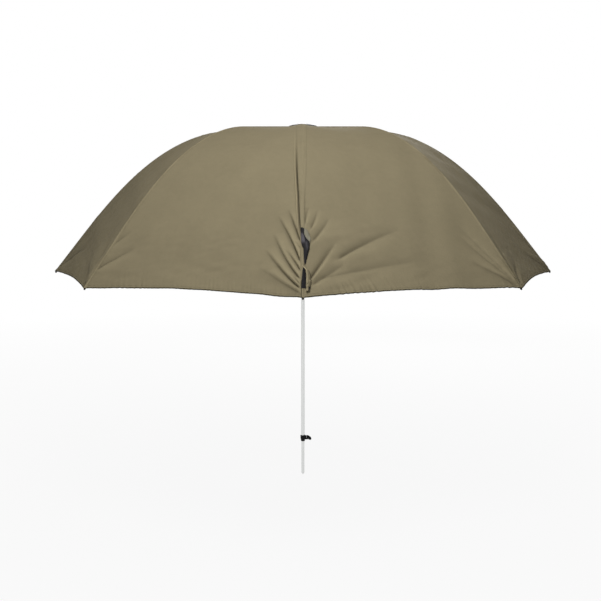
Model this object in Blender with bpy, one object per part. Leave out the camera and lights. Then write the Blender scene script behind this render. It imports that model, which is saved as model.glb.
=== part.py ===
"""Fishing umbrella: a two-part pole with a ground point, a frame of eight folding ribs, and a canopy.

Metres, +Z up, with the tip of the ground point at the origin. Rib 1 points to -Y, the front, and the
ribs are numbered counterclockwise seen from above. Gore 1 lies between ribs 1 and 2, and so on.
Each rib is laid out in its own plane, with X outward from the pole and Z up, and then turned to its
place.
"""

import math

import bmesh
import bpy
from mathutils import Matrix, Vector

# Line of the canopy over a rib, measured along the cloth from the crown
RIB_COUNT = 8
FRONT_ANGLE = math.radians(-90)
APEX_HEIGHT = 1.770
BEND_STARTS = 0.387
BEND_ENDS = 1.374
BEND_SKEW = 0.51
CROWN_SLOPE = math.radians(3.6)
HEM_SLOPE = math.radians(51.4)
CANOPY_ARC = 1.527
LINE_STEPS = 400

# Clearances
GAP = 0.0003
WALL_OVERRUN = 0.001
MERGE_DISTANCE = 0.00001
TANGENT_STEP = 0.003

# Cloth
CLOTH_THICKNESS = 0.0008
SEAM_HALF_GAP = 0.0005
CLOTH_INNER_ARC = 0.012
HEM_SCALLOP = 0.018
VALLEY_SAG = 0.012
VALLEY_FULL_ARC = 0.350
VALLEY_LEVELS_ARC = 0.700
INNER_ROWS = 8
OUTER_ROWS = 14
GORE_COLUMNS = 6
FRONT_GORE_COLUMNS = 14
FRONT_GORE_ROWS = 18
FRONT_CROWDING = 1.6

# Folds that the tie strap pulls into the two front gores
FOLD_HEIGHT = 0.009
FOLD_PITCH = 0.085
FOLD_TOP_ABOVE_HEM = 0.343
FOLD_TOP_ARC = CANOPY_ARC - FOLD_TOP_ABOVE_HEM
FOLD_FADE = 0.110
FOLD_REACH = 0.260
FOLD_RISE = 0.040
FOLD_HEM_FADE = 0.040
FOLD_TOP_STEEPNESS = 2.1
FOLD_FAN_LENGTH = 0.161
RIGHT_OF_FRONT = 1
LEFT_OF_FRONT = -1

# Lower pole and its ground point
TUBE_SIDES = 24
LOWER_POLE_RADIUS = 0.008
LOWER_POLE_WALL = 0.0011
LOWER_POLE_TOP = 0.900
POINT_SHOULDER = 0.0105
POINT_FLAT_RADIUS = 0.0015
POINT_SPIGOT_LENGTH = 0.035

# Upper pole and the clamp at its foot
UPPER_POLE_WALL = 0.0012
COLLAR_BOTTOM = 0.176
COLLAR_HEIGHT = 0.031
COLLAR_SEAT_DEPTH = 0.0135
COLLAR_FOOT_RADIUS = 0.0100
COLLAR_HEAD_RADIUS = 0.0128
COLLAR_CHAMFER = 0.0010
COLLAR_SIDES = 24
SCREW_HEIGHT = 0.1885
SCREW_RADIUS = 0.0026
SCREW_SIDES = 16
BOSS_HALF_WIDTH = 0.0065
BOSS_HALF_HEIGHT = 0.0112
BOSS_RISE = 0.0060
BOSS_END = 0.0186
SCREW_HUB_RADIUS = 0.0050
SCREW_HUB_LENGTH = 0.0060
LEVER_LENGTH = 0.0244
LEVER_RISE = 0.0075
LEVER_DROOP = 0.0082
LEVER_HALF_HEIGHT = 0.0105
LEVER_HALF_WIDTH = 0.0058
LEVER_SIDES = 16
LEVER_SECTION_SHARES = (
    (0, 0, 0.95),
    (0.05, 0, 1),
    (0.22, 0.02, 1),
    (0.36, 0.17, 1),
    (0.50, 0.38, 0.98),
    (0.64, 0.61, 0.94),
    (0.77, 0.80, 0.85),
    (0.88, 0.92, 0.69),
    (0.96, 0.98, 0.42),
    (1, 1, 0.16),
)

# Crown that carries the ribs on a ring wire
CROWN_SIDES = 32
CROWN_RADIUS = 0.031
CROWN_SKIRT_RADIUS = 0.0165
CROWN_SKIRT_LENGTH = 0.040
CROWN_CHAMFER = 0.0015
PIVOT_RADIUS = 0.026
PIVOT_DROP = 0.0113
WIRE_RADIUS = 0.0008
WIRE_SIDES = 8
SLOT_INNER_RADIUS = 0.0195
SLOT_ROOF = 0.0042
SLOT_SIDE_GAP = 0.0004

# Patch and cap on top of the canopy
PATCH_RADIUS = 0.078
PATCH_THICKNESS = 0.0008
CAP_RADIUS = 0.070
CAP_RIM = 0.0015
CAP_DOME_RISE = 0.0140
CAP_STEM_RADIUS = 0.0055
CAP_STEM_LENGTH = 0.016
CAP_DOME_STEPS = 6
CAP_SIDES = 32

# Ribs
ROD_RADIUS = 0.002
ROD_SIDES = 6
ROD_DROP = 0.0036
ROD_RISE_ENDS = 0.110
ROD_TIP_DROP = 0.0022
ROD_TIP_DROP_LENGTH = 0.100
ROD_TIP_DROP_ABOVE_HEM = 0.057
ROD_TIP_DROP_ENDS = CANOPY_ARC - ROD_TIP_DROP_ABOVE_HEM
ROD_TIP_DROP_STARTS = ROD_TIP_DROP_ENDS - ROD_TIP_DROP_LENGTH
TAB_HALF_THICKNESS = 0.0012
TAB_HALF_HEIGHT = 0.0030
TAB_LENGTH = 0.0095
TAB_TAPER = 0.0030
BEND_ARC = 0.600
BEND_BALL_SHARES = ((-0.95, 0.25), (-0.70, 0.70))
BEND_GAP = 0.0005

# Clips that join the stretchers to the ribs
CLIP_ARC = 0.587
CLIP_DEPTH = 0.012
SLEEVE_RADIUS = 0.0027
SLEEVE_LENGTH = 0.018
EAR_THICKNESS = 0.0011
EAR_HALF_WIDTH = 0.0048
EAR_ROUND_STEPS = 4
CLIP_PIN_RADIUS = 0.0012
CLIP_PIN_HEAD = 0.0005

# Stretchers and the runner on the upper pole
STRETCHER_LENGTH = 0.660
STRETCHER_RADIUS = 0.0022
STRETCHER_STATIONS = 3
RUNNER_PIVOT_RADIUS = 0.030
RUNNER_RADIUS = 0.0345
RUNNER_FLANGE_HALF_HEIGHT = 0.0060
RUNNER_CHAMFER = 0.0010
RUNNER_SLEEVE_RADIUS = 0.0130
RUNNER_SLEEVE_BELOW = 0.046
RUNNER_SLEEVE_ABOVE = 0.010
RUNNER_GRIP_RADIUS = 0.0185
RUNNER_GRIP_HEIGHT = 0.0050
RUNNER_SLOT_INNER_RADIUS = 0.0175
RUNNER_SIDES = 32

# Spring catch that holds the open runner up
CATCH_HALF_WIDTH = 0.0015
CATCH_LEAF_THICKNESS = 0.0008
CATCH_NIB_LENGTH = 0.016
CATCH_NIB_REACH = 0.0045
CATCH_LEG_LENGTH = 0.030
CATCH_FOOT_LENGTH = 0.008

# Tip caps on the ribs
TIP_RADIUS = 0.0042
TIP_LENGTH = 0.034
TIP_OVERHANG = 0.005
TIP_END_ARC = CANOPY_ARC + TIP_OVERHANG
TIP_BORE_DEPTH = 0.024
TIP_SIDES = 10
TIP_ROUND_STEPS = 3

# Straps sewn to the right of the front seam
STRAP_THICKNESS = 0.0016
STRAP_ROWS = 10
STRAP_COLUMNS = 2
UPPER_STRAP_WIDTH = 0.024
UPPER_STRAP_ABOVE_HEM = (0.327, 0.148)
UPPER_STRAP_SEAM_GAP = 0.003
UPPER_STRAP_LIFT = 0.012
UPPER_STRAP_SWAY = 0.012
LOWER_STRAP_WIDTH = 0.020
LOWER_STRAP_ABOVE_HEM = (0.139, 0.021)
LOWER_STRAP_SEAM_GAP = 0.004
LOWER_STRAP_LIFT = 0.005
LOWER_STRAP_SWAY = 0.006

# Finishes: colour, roughness, metallic
FINISHES = {
    "cloth": ((0.262, 0.223, 0.138), 0.75, 0.0),
    "webbing": ((0.020, 0.020, 0.022), 0.60, 0.0),
    "aluminium": ((0.750, 0.760, 0.760), 0.30, 1.0),
    "black_plastic": ((0.014, 0.014, 0.015), 0.45, 0.0),
    "rod": ((0.040, 0.040, 0.038), 0.35, 0.0),
    "steel": ((0.450, 0.450, 0.460), 0.35, 1.0),
}
SMOOTH_ANGLE = math.radians(35)

GORE_ANGLE = math.tau / RIB_COUNT
UPPER_POLE_RADIUS = LOWER_POLE_RADIUS + GAP + UPPER_POLE_WALL
UPPER_POLE_BOTTOM = COLLAR_BOTTOM + COLLAR_HEIGHT - COLLAR_SEAT_DEPTH + GAP
SLOT_HALF_WIDTH = TAB_HALF_THICKNESS + SLOT_SIDE_GAP
HALF_CLOTH = CLOTH_THICKNESS / 2
STRAP_SIDE = UPPER_STRAP_SEAM_GAP + UPPER_STRAP_SWAY + UPPER_STRAP_WIDTH


def clear_scene():
    for item in list(bpy.data.objects):
        bpy.data.objects.remove(item, do_unlink=True)


def eased(value, start, end):
    """0 before start, 1 after end, and a smooth rise between them."""
    share = min(max((value - start) / (end - start), 0), 1)
    return share * share * (3 - 2 * share)


def bent_share(arc):
    """Share of the cloth's bend that lies inside an arc. The skew brings the bend nearer the crown."""
    share = min(max((arc - BEND_STARTS) / (BEND_ENDS - BEND_STARTS), 0), 1)
    return eased(share**BEND_SKEW, 0, 1)


def line_points():
    """Points and slopes along the canopy line, walked from the apex out to past the hem."""
    step = (CANOPY_ARC + TIP_LENGTH) / LINE_STEPS
    radius, height, points = 0, APEX_HEIGHT, []
    for index in range(LINE_STEPS + 1):
        slope = CROWN_SLOPE + (HEM_SLOPE - CROWN_SLOPE) * bent_share(index * step)
        points.append((radius, height, slope))
        radius += step * math.cos(slope)
        height -= step * math.sin(slope)
    return step, points


LINE_STEP, LINE_POINTS = line_points()


def on_line(arc):
    """Radius, height and slope of the canopy line at an arc length from the apex."""
    place = min(max(arc / LINE_STEP, 0), LINE_STEPS - 1)
    low = min(int(place), LINE_STEPS - 1)
    share = place - low
    return [a + (b - a) * share for a, b in zip(LINE_POINTS[low], LINE_POINTS[low + 1])]


def below_line(arc, drop):
    """The point of the rib's plane that lies a distance under the canopy line."""
    radius, height, slope = on_line(arc)
    return Vector((radius - drop * math.sin(slope), 0, height - drop * math.cos(slope)))


def rod_point(arc):
    """Centre of a rib's rod: it rises from the crown to the cloth, and dips again for the tip cap."""
    near_crown = 1 - eased(arc, PIVOT_RADIUS, ROD_RISE_ENDS)
    near_tip = eased(arc, ROD_TIP_DROP_STARTS, ROD_TIP_DROP_ENDS)
    drop = ROD_DROP + (PIVOT_DROP - ROD_DROP) * near_crown + ROD_TIP_DROP * near_tip
    return below_line(arc, drop)


def inner_arcs(start, end):
    """Arcs of the rows that the rod and the cloth share inside the bend, so that they stay parallel."""
    shared = [BEND_ARC * index / INNER_ROWS for index in range(1, INNER_ROWS)]
    shared.append(CLIP_ARC - SLEEVE_LENGTH / 2)
    return [start] + [arc for arc in shared if start < arc < end] + [end]


def outer_arcs(start, end, rows=OUTER_ROWS):
    shared = [BEND_ARC + (CANOPY_ARC - BEND_ARC) * index / rows for index in range(1, rows)]
    return [start] + [arc for arc in shared if start < arc < end] + [end]


PIVOT = rod_point(PIVOT_RADIUS)
BEND = rod_point(BEND_ARC)
CLIP_SLOPE = on_line(CLIP_ARC)[2]
CLIP_PIN = rod_point(CLIP_ARC) - CLIP_DEPTH * Vector((math.sin(CLIP_SLOPE), 0, math.cos(CLIP_SLOPE)))
RUNNER_HEIGHT = CLIP_PIN.z - math.sqrt(STRETCHER_LENGTH**2 - (CLIP_PIN.x - RUNNER_PIVOT_RADIUS) ** 2)
RUNNER_PIN = Vector((RUNNER_PIVOT_RADIUS, 0, RUNNER_HEIGHT))


def finish(name, kind):
    colour, roughness, metallic = FINISHES[kind]
    material = bpy.data.materials.new(name + "_" + kind)
    material.use_nodes = True
    shader = material.node_tree.nodes["Principled BSDF"]
    shader.inputs["Base Color"].default_value = (*colour, 1)
    shader.inputs["Roughness"].default_value = roughness
    shader.inputs["Metallic"].default_value = metallic
    return material


def mesh_of(name, shape):
    mesh = bpy.data.meshes.new(name)
    shape.to_mesh(mesh)
    shape.free()
    mesh.shade_smooth()
    mesh.set_sharp_from_angle(angle=SMOOTH_ANGLE)
    return mesh


def piece(name, mesh, kind, parent=None, place=(0, 0, 0), turn=0):
    """A named object on its parent, with its own copy of the mesh and its own material."""
    made = bpy.data.objects.new(name, mesh.copy())
    made.data.materials.append(finish(name, kind))
    made.parent = parent
    made.location = place
    made.rotation_euler = (0, 0, turn)
    bpy.context.collection.objects.link(made)
    return made


def turned(profile, sides, closed=False):
    """A solid turned about Z. A closed profile goes round the wall of a tube."""
    shape = bmesh.new()
    corners = [shape.verts.new((radius, 0, height)) for radius, height in profile]
    pairs = list(zip(corners, corners[1:]))
    if closed:
        pairs.append((corners[-1], corners[0]))
    lines = corners + [shape.edges.new(pair) for pair in pairs]
    centre, axis = (0, 0, 0), (0, 0, 1)
    bmesh.ops.spin(
        shape, geom=lines, cent=centre, axis=axis, angle=math.tau, steps=sides, use_merge=True
    )
    bmesh.ops.remove_doubles(shape, verts=shape.verts, dist=MERGE_DISTANCE)
    bmesh.ops.recalc_face_normals(shape, faces=shape.faces)
    return shape


def cylinder(radius, low, high, sides):
    return turned([(0, low), (radius, low), (radius, high), (0, high)], sides)


def tube(inner, outer, low, high, sides):
    return turned([(inner, low), (outer, low), (outer, high), (inner, high)], sides, closed=True)


def loft(rings):
    """A solid skinned over rings of points, with flat ends."""
    shape = bmesh.new()
    rows = [[shape.verts.new(point) for point in ring] for ring in rings]
    for low, high in zip(rows, rows[1:]):
        for index, corner in enumerate(low):
            after = (index + 1) % len(low)
            shape.faces.new((corner, low[after], high[after], high[index]))
    shape.faces.new(rows[0])
    shape.faces.new(rows[-1])
    bmesh.ops.recalc_face_normals(shape, faces=shape.faces)
    return shape


def oval(centre, along, half_width, half_height, sides):
    """A ring square to a direction in the rib's plane, wide along Y and high in the plane."""
    up = Vector((-along.z, 0, along.x)).normalized()
    ring = []
    for index in range(sides):
        angle = math.tau * (index + 1 / 2) / sides
        sideways = Vector((0, half_width * math.cos(angle), 0))
        ring.append(centre + up * half_height * math.sin(angle) + sideways)
    return ring


def block(low, high):
    shape = bmesh.new()
    bmesh.ops.create_cube(shape, size=1)
    for corner in shape.verts:
        corner.co = [a + (b - a) * (share + 1 / 2) for a, b, share in zip(low, high, corner.co)]
    return shape


def moved(shape, matrix):
    bmesh.ops.transform(shape, matrix=matrix, verts=shape.verts)
    return shape


def combined(body, tool, operation):
    """The body joined with a tool shape, or cut by it."""
    pair = [bpy.data.objects.new("shape", mesh_of("shape", shape)) for shape in (body, tool)]
    for item in pair:
        bpy.context.collection.objects.link(item)
    modifier = pair[0].modifiers.new("join", "BOOLEAN")
    modifier.operation = operation
    modifier.solver = "EXACT"
    modifier.object = pair[1]
    graph = bpy.context.evaluated_depsgraph_get()
    result = bmesh.new()
    result.from_mesh(bpy.data.meshes.new_from_object(pair[0].evaluated_get(graph)))
    for item in pair:
        bpy.data.objects.remove(item, do_unlink=True)
    bmesh.ops.remove_doubles(result, verts=result.verts, dist=MERGE_DISTANCE)
    return result


def along_x(matrix_place):
    """Turns a shape that stands on Z so that it points along +X from a place."""
    return Matrix.Translation(matrix_place) @ Matrix.Rotation(math.radians(90), 4, "Y")


def across(matrix_place):
    """Turns a shape that stands on Z so that it lies along Y, through a place in the rib's plane."""
    return Matrix.Translation(matrix_place) @ Matrix.Rotation(math.radians(90), 4, "X")


def slots(inner, outer, low, high):
    """Eight radial bars, the cutter for the slots that the ribs' or stretchers' tabs work in."""
    cutter = bmesh.new()
    for index in range(RIB_COUNT):
        bar = block((inner, -SLOT_HALF_WIDTH, low), (outer, SLOT_HALF_WIDTH, high))
        moved(bar, Matrix.Rotation(rib_angle(index), 4, "Z"))
        mesh = bpy.data.meshes.new("bar")
        bar.to_mesh(mesh)
        bar.free()
        cutter.from_mesh(mesh)
    return cutter


def rib_angle(index):
    return FRONT_ANGLE + GORE_ANGLE * index


def make_lower_pole():
    bore = LOWER_POLE_RADIUS - LOWER_POLE_WALL
    shape = tube(bore, LOWER_POLE_RADIUS, POINT_SHOULDER + GAP, LOWER_POLE_TOP, TUBE_SIDES)
    return piece("lower_pole", mesh_of("lower_pole", shape), "aluminium")


def make_pole_point():
    """Blunt cone that is pushed into the ground, with a spigot up the tube."""
    spigot = LOWER_POLE_RADIUS - LOWER_POLE_WALL - GAP
    top = POINT_SHOULDER + POINT_SPIGOT_LENGTH
    profile = [
        (0, 0),
        (POINT_FLAT_RADIUS, 0),
        (LOWER_POLE_RADIUS, POINT_SHOULDER - POINT_FLAT_RADIUS),
        (LOWER_POLE_RADIUS, POINT_SHOULDER),
        (spigot, POINT_SHOULDER),
        (spigot, top - POINT_FLAT_RADIUS),
        (spigot - POINT_FLAT_RADIUS, top),
        (0, top),
    ]
    piece("pole_point", mesh_of("pole_point", turned(profile, TUBE_SIDES)), "aluminium")


def crown_levels():
    """Heights of the crown's underside, hinge flange and top, which seats the cloth."""
    chord_share = math.cos(GORE_ANGLE / 2)
    top = on_line(CROWN_RADIUS / chord_share)[1] - HALF_CLOTH - GAP
    flange = PIVOT.z - TAB_HALF_HEIGHT - SLOT_ROOF
    return top - CROWN_SKIRT_LENGTH - CROWN_CHAMFER, flange, top


def make_upper_pole():
    top = crown_levels()[2] - CAP_STEM_LENGTH - GAP
    bore = LOWER_POLE_RADIUS + GAP
    shape = tube(bore, UPPER_POLE_RADIUS, UPPER_POLE_BOTTOM, top, TUBE_SIDES)
    nib_top = RUNNER_HEIGHT - RUNNER_SLEEVE_BELOW - GAP
    window = block(
        (-CATCH_HALF_WIDTH - GAP, -UPPER_POLE_RADIUS - WALL_OVERRUN, nib_top - CATCH_NIB_LENGTH - GAP),
        (CATCH_HALF_WIDTH + GAP, 0, nib_top + GAP),
    )
    shape = combined(shape, window, "DIFFERENCE")
    return piece("upper_pole", mesh_of("upper_pole", shape), "aluminium")


def make_clamp_collar(pole):
    """Moulded collar: the upper tube seats in its head, and the lower tube slides through its foot."""
    top = COLLAR_BOTTOM + COLLAR_HEIGHT
    seat = top - COLLAR_SEAT_DEPTH
    profile = [
        (0, COLLAR_BOTTOM),
        (COLLAR_FOOT_RADIUS - COLLAR_CHAMFER, COLLAR_BOTTOM),
        (COLLAR_FOOT_RADIUS, COLLAR_BOTTOM + COLLAR_CHAMFER),
        (COLLAR_HEAD_RADIUS, seat),
        (COLLAR_HEAD_RADIUS, top - COLLAR_CHAMFER),
        (COLLAR_HEAD_RADIUS - COLLAR_CHAMFER, top),
        (0, top),
    ]
    shape = turned(profile, COLLAR_SIDES)
    boss_places = [Vector((reach, 0, SCREW_HEIGHT + BOSS_RISE)) for reach in (0, BOSS_END)]
    along = Vector((1, 0, 0))
    boss = [oval(place, along, BOSS_HALF_WIDTH, BOSS_HALF_HEIGHT, SCREW_SIDES) for place in boss_places]
    shape = combined(shape, loft(boss), "UNION")
    foot_bore = cylinder(LOWER_POLE_RADIUS + GAP, COLLAR_BOTTOM - WALL_OVERRUN, top, COLLAR_SIDES)
    shape = combined(shape, foot_bore, "DIFFERENCE")
    head_bore = cylinder(UPPER_POLE_RADIUS + GAP, seat, top + WALL_OVERRUN, COLLAR_SIDES)
    shape = combined(shape, head_bore, "DIFFERENCE")
    screw_hole = cylinder(SCREW_RADIUS + GAP, 0, BOSS_END + WALL_OVERRUN, SCREW_SIDES)
    shape = combined(shape, moved(screw_hole, along_x((0, 0, SCREW_HEIGHT))), "DIFFERENCE")
    piece("clamp_collar", mesh_of("clamp_collar", shape), "black_plastic", pole)


def make_clamp_screw(pole):
    """Clamp screw, whose shank presses on the lower tube, with its drooping finger lever."""
    hub_start = BOSS_END + GAP
    hub_end = hub_start + SCREW_HUB_LENGTH
    tip = LOWER_POLE_RADIUS + GAP
    profile = [
        (0, tip),
        (SCREW_RADIUS, tip),
        (SCREW_RADIUS, hub_start),
        (SCREW_HUB_RADIUS, hub_start),
        (SCREW_HUB_RADIUS, hub_end),
        (0, hub_end),
    ]
    shape = moved(turned(profile, SCREW_SIDES), along_x((0, 0, 0)))
    rings = []
    for along_share, droop_share, size_share in LEVER_SECTION_SHARES:
        reach = hub_start + GAP + LEVER_LENGTH * along_share
        middle = Vector((reach, 0, LEVER_RISE - LEVER_DROOP * droop_share))
        width, height = LEVER_HALF_WIDTH * size_share, LEVER_HALF_HEIGHT * size_share
        rings.append(oval(middle, Vector((1, 0, 0)), width, height, LEVER_SIDES))
    shape = combined(shape, loft(rings), "UNION")
    piece("clamp_screw", mesh_of("clamp_screw", shape), "black_plastic", pole, (0, 0, SCREW_HEIGHT))


def make_crown(pole):
    """Top notch: a skirt over the pole, and a slotted flange whose ring wire carries the ribs."""
    bottom, flange, top = crown_levels()
    pole_bore = UPPER_POLE_RADIUS + GAP
    bore_top = top - CAP_STEM_LENGTH
    stem_bore = CAP_STEM_RADIUS + GAP
    profile = [
        (pole_bore, bottom),
        (CROWN_SKIRT_RADIUS - CROWN_CHAMFER, bottom),
        (CROWN_SKIRT_RADIUS, bottom + CROWN_CHAMFER),
        (CROWN_SKIRT_RADIUS, flange),
        (CROWN_RADIUS, flange),
        (CROWN_RADIUS, top - CROWN_CHAMFER),
        (CROWN_RADIUS - CROWN_CHAMFER, top),
        (stem_bore, top),
        (stem_bore, bore_top),
        (pole_bore, bore_top),
    ]
    shape = turned(profile, CROWN_SIDES, closed=True)
    roof = PIVOT.z + SLOT_ROOF
    cutter = slots(SLOT_INNER_RADIUS, CROWN_RADIUS + WALL_OVERRUN, flange - WALL_OVERRUN, roof)
    shape = combined(shape, cutter, "DIFFERENCE")
    section = [
        (
            PIVOT.x + WIRE_RADIUS * math.cos(math.tau * index / WIRE_SIDES),
            PIVOT.z + WIRE_RADIUS * math.sin(math.tau * index / WIRE_SIDES),
        )
        for index in range(WIRE_SIDES)
    ]
    shape = combined(shape, turned(section, CROWN_SIDES, closed=True), "UNION")
    piece("crown", mesh_of("crown", shape), "black_plastic", pole)


def patch_level(radius):
    """Underside of the crown patch, just above the cloth on the ribs."""
    return on_line(radius)[1] + HALF_CLOTH + GAP


def make_crown_patch(pole):
    inner = CAP_STEM_RADIUS + GAP
    profile = [
        (inner, patch_level(inner)),
        (PATCH_RADIUS, patch_level(PATCH_RADIUS)),
        (PATCH_RADIUS, patch_level(PATCH_RADIUS) + PATCH_THICKNESS),
        (inner, patch_level(inner) + PATCH_THICKNESS),
    ]
    shape = turned(profile, CAP_SIDES, closed=True)
    piece("crown_patch", mesh_of("crown_patch", shape), "webbing", pole)


def make_crown_cap(pole):
    """Domed cap on the patch, with a stem that plugs into the crown."""
    seat = PATCH_THICKNESS + GAP
    stem_top = patch_level(CAP_STEM_RADIUS) + seat
    rim = patch_level(CAP_RADIUS) + seat
    dome_foot = rim + CAP_RIM
    profile = [(0, stem_top - CAP_STEM_LENGTH), (CAP_STEM_RADIUS, stem_top - CAP_STEM_LENGTH)]
    profile += [(CAP_STEM_RADIUS, stem_top), (CAP_RADIUS, rim)]
    for index in range(CAP_DOME_STEPS + 1):
        share = 1 - index / CAP_DOME_STEPS
        profile.append((CAP_RADIUS * share, dome_foot + CAP_DOME_RISE * (1 - share * share)))
    piece("crown_cap", mesh_of("crown_cap", turned(profile, CAP_SIDES)), "black_plastic", pole)


def make_runner(pole):
    """Runner that slides on the upper pole; its slotted flange holds the stretchers' inner ends."""
    bore = UPPER_POLE_RADIUS + GAP
    bottom = RUNNER_HEIGHT - RUNNER_SLEEVE_BELOW
    low, high = RUNNER_HEIGHT - RUNNER_FLANGE_HALF_HEIGHT, RUNNER_HEIGHT + RUNNER_FLANGE_HALF_HEIGHT
    profile = [
        (bore, bottom),
        (RUNNER_GRIP_RADIUS - RUNNER_CHAMFER, bottom),
        (RUNNER_GRIP_RADIUS, bottom + RUNNER_CHAMFER),
        (RUNNER_GRIP_RADIUS, bottom + RUNNER_GRIP_HEIGHT - RUNNER_CHAMFER),
        (RUNNER_GRIP_RADIUS - RUNNER_CHAMFER, bottom + RUNNER_GRIP_HEIGHT),
        (RUNNER_SLEEVE_RADIUS, bottom + RUNNER_GRIP_HEIGHT),
        (RUNNER_SLEEVE_RADIUS, low),
        (RUNNER_RADIUS - RUNNER_CHAMFER, low),
        (RUNNER_RADIUS, low + RUNNER_CHAMFER),
        (RUNNER_RADIUS, high - RUNNER_CHAMFER),
        (RUNNER_RADIUS - RUNNER_CHAMFER, high),
        (RUNNER_SLEEVE_RADIUS, high),
        (RUNNER_SLEEVE_RADIUS, RUNNER_HEIGHT + RUNNER_SLEEVE_ABOVE),
        (bore, RUNNER_HEIGHT + RUNNER_SLEEVE_ABOVE),
    ]
    shape = turned(profile, RUNNER_SIDES, closed=True)
    cutter = slots(
        RUNNER_SLOT_INNER_RADIUS, RUNNER_RADIUS + WALL_OVERRUN, low - WALL_OVERRUN, high + WALL_OVERRUN
    )
    shape = combined(shape, cutter, "DIFFERENCE")
    piece("runner", mesh_of("runner", shape), "black_plastic", pole)


def make_open_catch(pole):
    """Spring leaf inside the upper pole; its nib stands out of a window under the open runner."""
    bore = (LOWER_POLE_RADIUS + GAP) * math.cos(math.pi / TUBE_SIDES)
    face = bore - GAP - CATCH_LEAF_THICKNESS / 2
    back = face - CATCH_LEAF_THICKNESS
    nib_top = RUNNER_HEIGHT - RUNNER_SLEEVE_BELOW - GAP
    nib_bottom = nib_top - CATCH_NIB_LENGTH
    leg_bottom = nib_bottom - CATCH_LEG_LENGTH
    foot_top = leg_bottom + CATCH_FOOT_LENGTH
    outline = [
        (back, leg_bottom),
        (bore - GAP, leg_bottom),
        (bore - GAP, foot_top),
        (face, foot_top),
        (face, nib_bottom),
        (UPPER_POLE_RADIUS + CATCH_NIB_REACH, nib_top - CATCH_LEAF_THICKNESS),
        (UPPER_POLE_RADIUS + CATCH_NIB_REACH, nib_top),
        (back, nib_top),
    ]
    sides = (-CATCH_HALF_WIDTH, CATCH_HALF_WIDTH)
    rings = [[Vector((side, -reach, height)) for reach, height in outline] for side in sides]
    piece("open_catch", mesh_of("open_catch", loft(rings)), "steel", pole)


def tab_ring(centre, along):
    """A ring of a flattened rod end, full height."""
    half_width = TAB_HALF_THICKNESS / math.cos(math.pi / ROD_SIDES)
    return oval(centre, along, half_width, TAB_HALF_HEIGHT, ROD_SIDES)


def tab_end(centre, along):
    """The last ring of a flattened rod end, half as high."""
    return oval(centre, along, TAB_HALF_THICKNESS, TAB_HALF_HEIGHT / 2, ROD_SIDES)


def eye(shape, place, radius):
    """The shape with a hole across it for a wire or a pin."""
    reach = TAB_HALF_THICKNESS + WALL_OVERRUN
    drill = moved(cylinder(radius, -reach, reach, ROD_SIDES), across(place))
    return combined(shape, drill, "DIFFERENCE")


def clip_frame():
    """The clip's own axes: X along the rib and Z square to it, with the pin at the origin."""
    return Matrix.Translation(CLIP_PIN - PIVOT) @ Matrix.Rotation(CLIP_SLOPE, 4, "Y")


def clip_shapes():
    """The clip's sleeve, its two ears and its pin, as separate tools."""
    half = SLEEVE_LENGTH / 2
    sleeve = moved(cylinder(SLEEVE_RADIUS, -half, half, ROD_SIDES), along_x((0, 0, CLIP_DEPTH)))
    shapes = [sleeve]
    inner = TAB_HALF_THICKNESS + SLOT_SIDE_GAP
    for side in (-1, 1):
        outline = [(half - ROD_RADIUS, CLIP_DEPTH), (ROD_RADIUS - half, CLIP_DEPTH)]
        for index in range(EAR_ROUND_STEPS + 1):
            angle = math.pi * (1 + index / EAR_ROUND_STEPS)
            outline.append((EAR_HALF_WIDTH * math.cos(angle), EAR_HALF_WIDTH * math.sin(angle)))
        rings = [[Vector((x, side * y, z)) for x, z in outline] for y in (inner, inner + EAR_THICKNESS)]
        shapes.append(loft(rings))
    reach = inner + EAR_THICKNESS + CLIP_PIN_HEAD
    shapes.append(moved(cylinder(CLIP_PIN_RADIUS, -reach, reach, ROD_SIDES), across((0, 0, 0))))
    return [moved(shape, clip_frame()) for shape in shapes]


def rib_inner_mesh():
    """Inner rib: a flattened end with an eye for the crown's wire, the rod, and the stretcher's clip."""
    out = (rod_point(PIVOT_RADIUS + TAB_LENGTH) - PIVOT).normalized()
    rings = [tab_end(-out * TAB_HALF_HEIGHT, out)]
    rings += [tab_ring(out * place, out) for place in (-TAB_HALF_HEIGHT / 2, TAB_LENGTH)]
    start = PIVOT_RADIUS + TAB_LENGTH + TAB_TAPER
    end = BEND_ARC - ROD_RADIUS - BEND_GAP
    for arc in inner_arcs(start, end):
        along = rod_point(arc + TANGENT_STEP) - rod_point(arc - TANGENT_STEP)
        rings.append(oval(rod_point(arc) - PIVOT, along, ROD_RADIUS, ROD_RADIUS, ROD_SIDES))
    shape = loft(rings)
    for tool in clip_shapes():
        shape = combined(shape, tool, "UNION")
    return mesh_of("rib_inner", eye(shape, (0, 0, 0), WIRE_RADIUS + GAP))


def rib_outer_mesh():
    """Outer rib: its ball end turns at the clip, which stands for the bending of the one-piece rod."""
    out = (rod_point(BEND_ARC + ROD_RADIUS) - BEND).normalized()
    rings = []
    for reach_share, size_share in BEND_BALL_SHARES:
        size = ROD_RADIUS * size_share
        rings.append(oval(out * ROD_RADIUS * reach_share, out, size, size, ROD_SIDES))
    end = TIP_END_ARC - TIP_LENGTH + TIP_BORE_DEPTH - GAP
    for arc in outer_arcs(BEND_ARC, end):
        along = rod_point(arc + TANGENT_STEP) - rod_point(arc - TANGENT_STEP)
        rings.append(oval(rod_point(arc) - BEND, along, ROD_RADIUS, ROD_RADIUS, ROD_SIDES))
    return mesh_of("rib_outer", loft(rings))


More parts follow.
